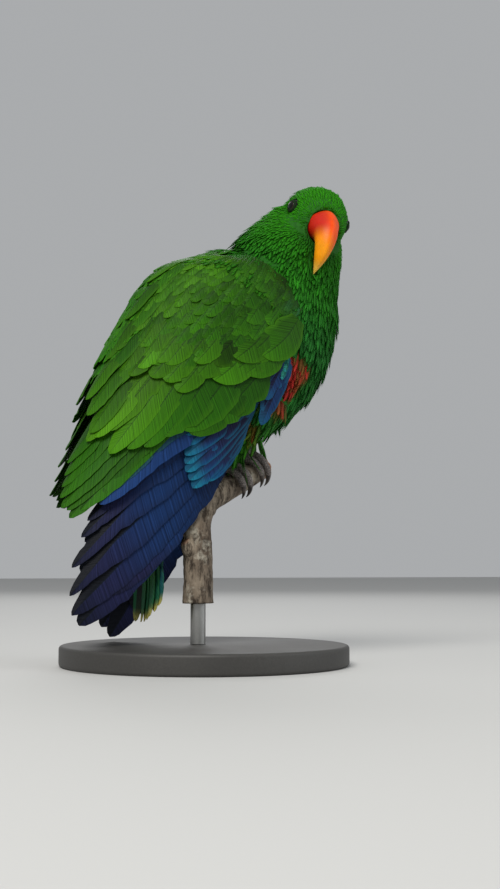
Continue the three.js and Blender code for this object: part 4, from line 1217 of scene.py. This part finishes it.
def make_eye(side, name):
    """An eyeball with a bulging cornea, and round it a ring of wrinkled lid with a rolled rim."""
    centre = eye_centre(side)
    out = unit(side * HEAD_RIGHT + EYE_TURNED_AHEAD * GAZE)
    up = unit(HEAD_UP - out * (HEAD_UP @ out))
    along = np.cross(up, out)

    def round_eye(turn):
        return np.cos(turn)[:, None] * along + np.sin(turn)[:, None] * up

    polar = np.linspace(0.0, np.pi, 25)[1:-1, None, None]
    reach = EYE_RADIUS * (1 + 0.05 * np.exp(-(polar / 0.6) ** 2))
    rings = centre + reach * (np.cos(polar) * out + np.sin(polar) * round_eye(turns(40)))
    points, faces = close_loft(rings, centre + reach[0, 0, 0] * out, centre - EYE_RADIUS * out)
    depth = (points - centre) @ out
    from_axis = np.linalg.norm(points - centre - depth[:, None] * out, axis=1) / EYE_RADIUS
    ring = np.where(depth > 0, from_axis, 1.0)[:, None]
    new_piece(f"eyeball_{name}", points, faces, EYE, "eye", f"eye_{name}", colours={"Ring": ring})

    turn, fold = turns(56), turns(14)
    opening = np.radians(LID_OPENING + 3 * np.abs(np.cos(turn)) + 1.2 * np.cos(9 * turn))[:, None]
    lid_end = math.radians(LID_REACH)
    middle = (opening + lid_end) / 2
    polar = (middle - (lid_end - middle) * np.cos(fold))[..., None]
    bulge = 0.34 + 0.16 * np.clip(np.cos(fold), 0, 1) ** 2 + 0.03 * np.sin(23 * turn)[:, None]
    reach = (EYE_RADIUS + 0.05 + bulge * np.sin(fold))[..., None]
    lids = centre + reach * (np.cos(polar) * out + np.sin(polar) * round_eye(turn)[:, None])
    points = lids.reshape(-1, 3)
    faces = outward(points, [tube_faces(len(turn), len(fold), closed=True)])
    new_piece(f"eyelids_{name}", points, faces, LID, "foot_skin")


def ripple(points, scale, seed):
    """A smooth, seeded bumpy field from a few crossing waves, about -1 to 1."""
    rng = np.random.default_rng(seed)
    total = np.zeros(points.shape[:-1])
    for octave in (1, 2, 4):
        for _ in range(5):
            direction = unit(rng.standard_normal(3))
            phase = rng.random() * 2 * np.pi
            total += np.sin(points @ direction * octave / scale * 2 * np.pi + phase) / octave
    return total / 6


def make_perch():
    """The branch, fissured where it is free, smooth where the toes grip it, torn at its end, and its knot."""
    rows = smooth_path(np.column_stack([PERCH_PATH, PERCH_RADII]), 26)
    path, radii = rows[:, :3], rows[:, 3, None, None]
    sides = 72
    shape, along = spokes(path, sides)
    t = np.linspace(0, 1, len(path))[:, None]
    surface = path[:, None] + radii * shape
    squeezed = surface * np.array([1.0, 1.0, 0.4])
    rough = 0.55 * ripple(squeezed, 7.0, 3) + 0.35 * ripple(squeezed, 2.6, 4)
    fissure = -0.9 * np.clip(ripple(squeezed, 4.0, 5) - 0.35, 0, 1)
    free = 1 - 0.75 * window(t, 0.55, 0.66, 0.90, 0.96)
    surface = surface + ((rough + fissure) * free - 0.45)[..., None] * shape
    splinters = smoothstep(t, 0.955, 1.0) * (2.2 * ripple(shape[-1] * 9, 5.0, 8) - 0.6)
    surface = surface + splinters[..., None] * along[:, None]
    points, faces = close_loft(surface, last=surface[-1].mean(0) - STUB_AXIS * STUB_HOLLOW)
    wound = np.append(np.repeat(smoothstep(t, 0.93, 0.985), sides), [0.6, 1.0])
    new_piece("branch", points, faces, BARK, "bark", "perch", colours={"Wound": wound[:, None]})

    rows = smooth_path(KNOT, 6)
    sides = 28
    shape, _ = spokes(rows[:, :3], sides)
    knot = rows[:, None, :3] + rows[:, 3, None, None] * shape
    points, faces = close_loft(knot + (0.4 * ripple(knot, 3.0, 9))[..., None] * shape)
    wound = np.append(np.repeat(smoothstep(np.linspace(0, 1, len(rows)), 0.8, 1.0) * 0.5, sides), [0, 0.5])
    new_piece("branch_knot", points, faces, BARK, "bark", colours={"Wound": wound[:, None]})


def scaly_tube(sheaf, path, radii, scutes):
    """A toe or shank: overlapping scutes as low steps along a tapering tube."""
    step = (np.linspace(0, 1, len(path)) * scutes) % 1.0
    points, (quads, caps) = close_loft(tube(path, radii + 0.16 * (1 - step) ** 2, 18))
    sheaf.add(points, quads, caps)


def make_foot(name, seat, hip, ankle):
    """A foot of four toes round the stub, two to each side, its shank and its claws."""
    hip, ankle = np.array(hip, float), np.array(ankle, float)
    sheaf = Sheaf()
    pad = stub_point(seat, 0.0, TOE_REACH + 0.9)
    shank = smooth_path([pad, lerp(pad, ankle, 0.5) + [0.4, 0, 0], ankle, lerp(ankle, hip, 0.12)], 14)
    scaly_tube(sheaf, shank, np.interp(np.linspace(0, 1, len(shank)), [0, 0.3, 1], [3.3, 2.9, 3.3]), 9)
    sole = smooth_path([stub_point(seat + step, 0.0, TOE_REACH + rise)
                        for step, rise in ((-6, -0.2), (-3, 0.4), (0, 0.7), (3, 0.4), (6, -0.2))], 6)
    scaly_tube(sheaf, sole, np.interp(np.linspace(0, 1, len(sole)), [0, 0.5, 1], [1.9, 3.1, 1.9]), 3)
    t = np.linspace(0, 1, 40)
    joints = 0.175 * np.abs(np.sin(t * 3 * np.pi))
    for offset, way, end in TOES:
        path = stub_point(seat + offset, np.radians(end * t) * way, TOE_REACH)
        scaly_tube(sheaf, path, lerp(TOE_THICK, TOE_THIN, t) + joints, 13)
    sheaf.piece(f"foot_{name}_skin", FOOT, "foot_skin", f"foot_{name}")
    t = np.linspace(0, 1, 18)
    for k, (offset, way, end) in enumerate(TOES, 1):
        angles = np.radians(end + CLAW_GAP + lerp(-CLAW_OVERLAP, CLAW_ARC, t)) * way
        path = stub_point(seat + offset, angles, TOE_REACH)
        points, faces = close_loft(tube(path, TOE_THIN * (1 - 0.9 * t ** 1.4), 16, flatness=0.86))
        new_piece(f"claw_{name}_{k}_horn", points, faces, CLAW, "claw", f"claw_{name}_{k}")


def make_stand():
    """The base as a disc with rolled edges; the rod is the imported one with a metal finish."""
    low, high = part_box("stand_base")
    radius, height = (high.x - low.x) / 2 / MM, high.z / MM
    arc = np.linspace(0, np.pi / 2, 7)
    inner, top = radius - BASE_BEVEL, height - BASE_BEVEL
    profile = [(inner + BASE_BEVEL * math.sin(a), BASE_BEVEL - BASE_BEVEL * math.cos(a)) for a in arc]
    profile += [(inner + BASE_BEVEL * math.cos(a), top + BASE_BEVEL * math.sin(a)) for a in arc]
    rings = np.array([[(r * math.cos(a), r * math.sin(a), z) for a in turns(128)] for r, z in profile])
    new_piece("base_disc", *close_loft(rings), BASE, "base", "stand_base", crease=30)
    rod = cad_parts["stand_rod"].data
    rod.materials.clear()
    rod.materials.append(ROD)
    shade_smooth(rod, crease=40)


make_camera()
make_stage()

FLIGHT = feather_material("flight_feathers", 75.0, 0.45, 0.5, 0.3)
COVERT = feather_material("covert_feathers", 105.0, 0.45, 0.55, 0.5)
COAT = coat_material()
SKIN = mottled_material("skin", 500.0, (0.008, 0.075, 0.004, 1), (0.014, 0.115, 0.006, 1), 0.8,
                        relief=(0.4, 0.0005), specular=0.2, limits=(0.35, 0.65))
BEAK = beak_material()
HORN = {"relief": (0.15, 0.0004), "specular": 0.5, "limits": (0.35, 0.7), "detail": 4.0}
BEAK_BLACK = mottled_material("beak_black_horn", 260.0, (0.006, 0.006, 0.007, 1), (0.035, 0.032, 0.030, 1),
                              0.42, **HORN)
CLAW = mottled_material("claw_horn", 260.0, (0.022, 0.020, 0.019, 1), (0.120, 0.100, 0.085, 1), 0.35, **HORN)
EYE = eye_material()
LID = mottled_material("eyelid_skin", 1400.0, (0.004, 0.010, 0.004, 1), (0.016, 0.036, 0.014, 1), 0.8,
                       relief=(0.5, 0.0003), specular=0.05, limits=(0, 1))
FOOT = foot_material()
BARK = bark_material()
ROD = stand_material("rod_steel", (0.30, 0.30, 0.29, 1), (0.46, 0.46, 0.44, 1), 0.36, 0.9)
BASE = stand_material("base_paint", (0.030, 0.029, 0.027, 1), (0.085, 0.082, 0.076, 1), 0.55, 0.0)

make_beak()
make_eye(1, "right")
make_eye(-1, "left")
make_perch()
for foot_name, foot_places in FEET.items():
    make_foot(foot_name, *foot_places)
make_stand()
wing_feathers(-1, 0.0, "right", np.random.default_rng(11))
wing_feathers(1, LEFT_DROOP, "left", np.random.default_rng(12))
mantle_feathers(np.random.default_rng(15))
tail_feathers(np.random.default_rng(13))
dress_skin(make_skin(), np.random.default_rng(14))
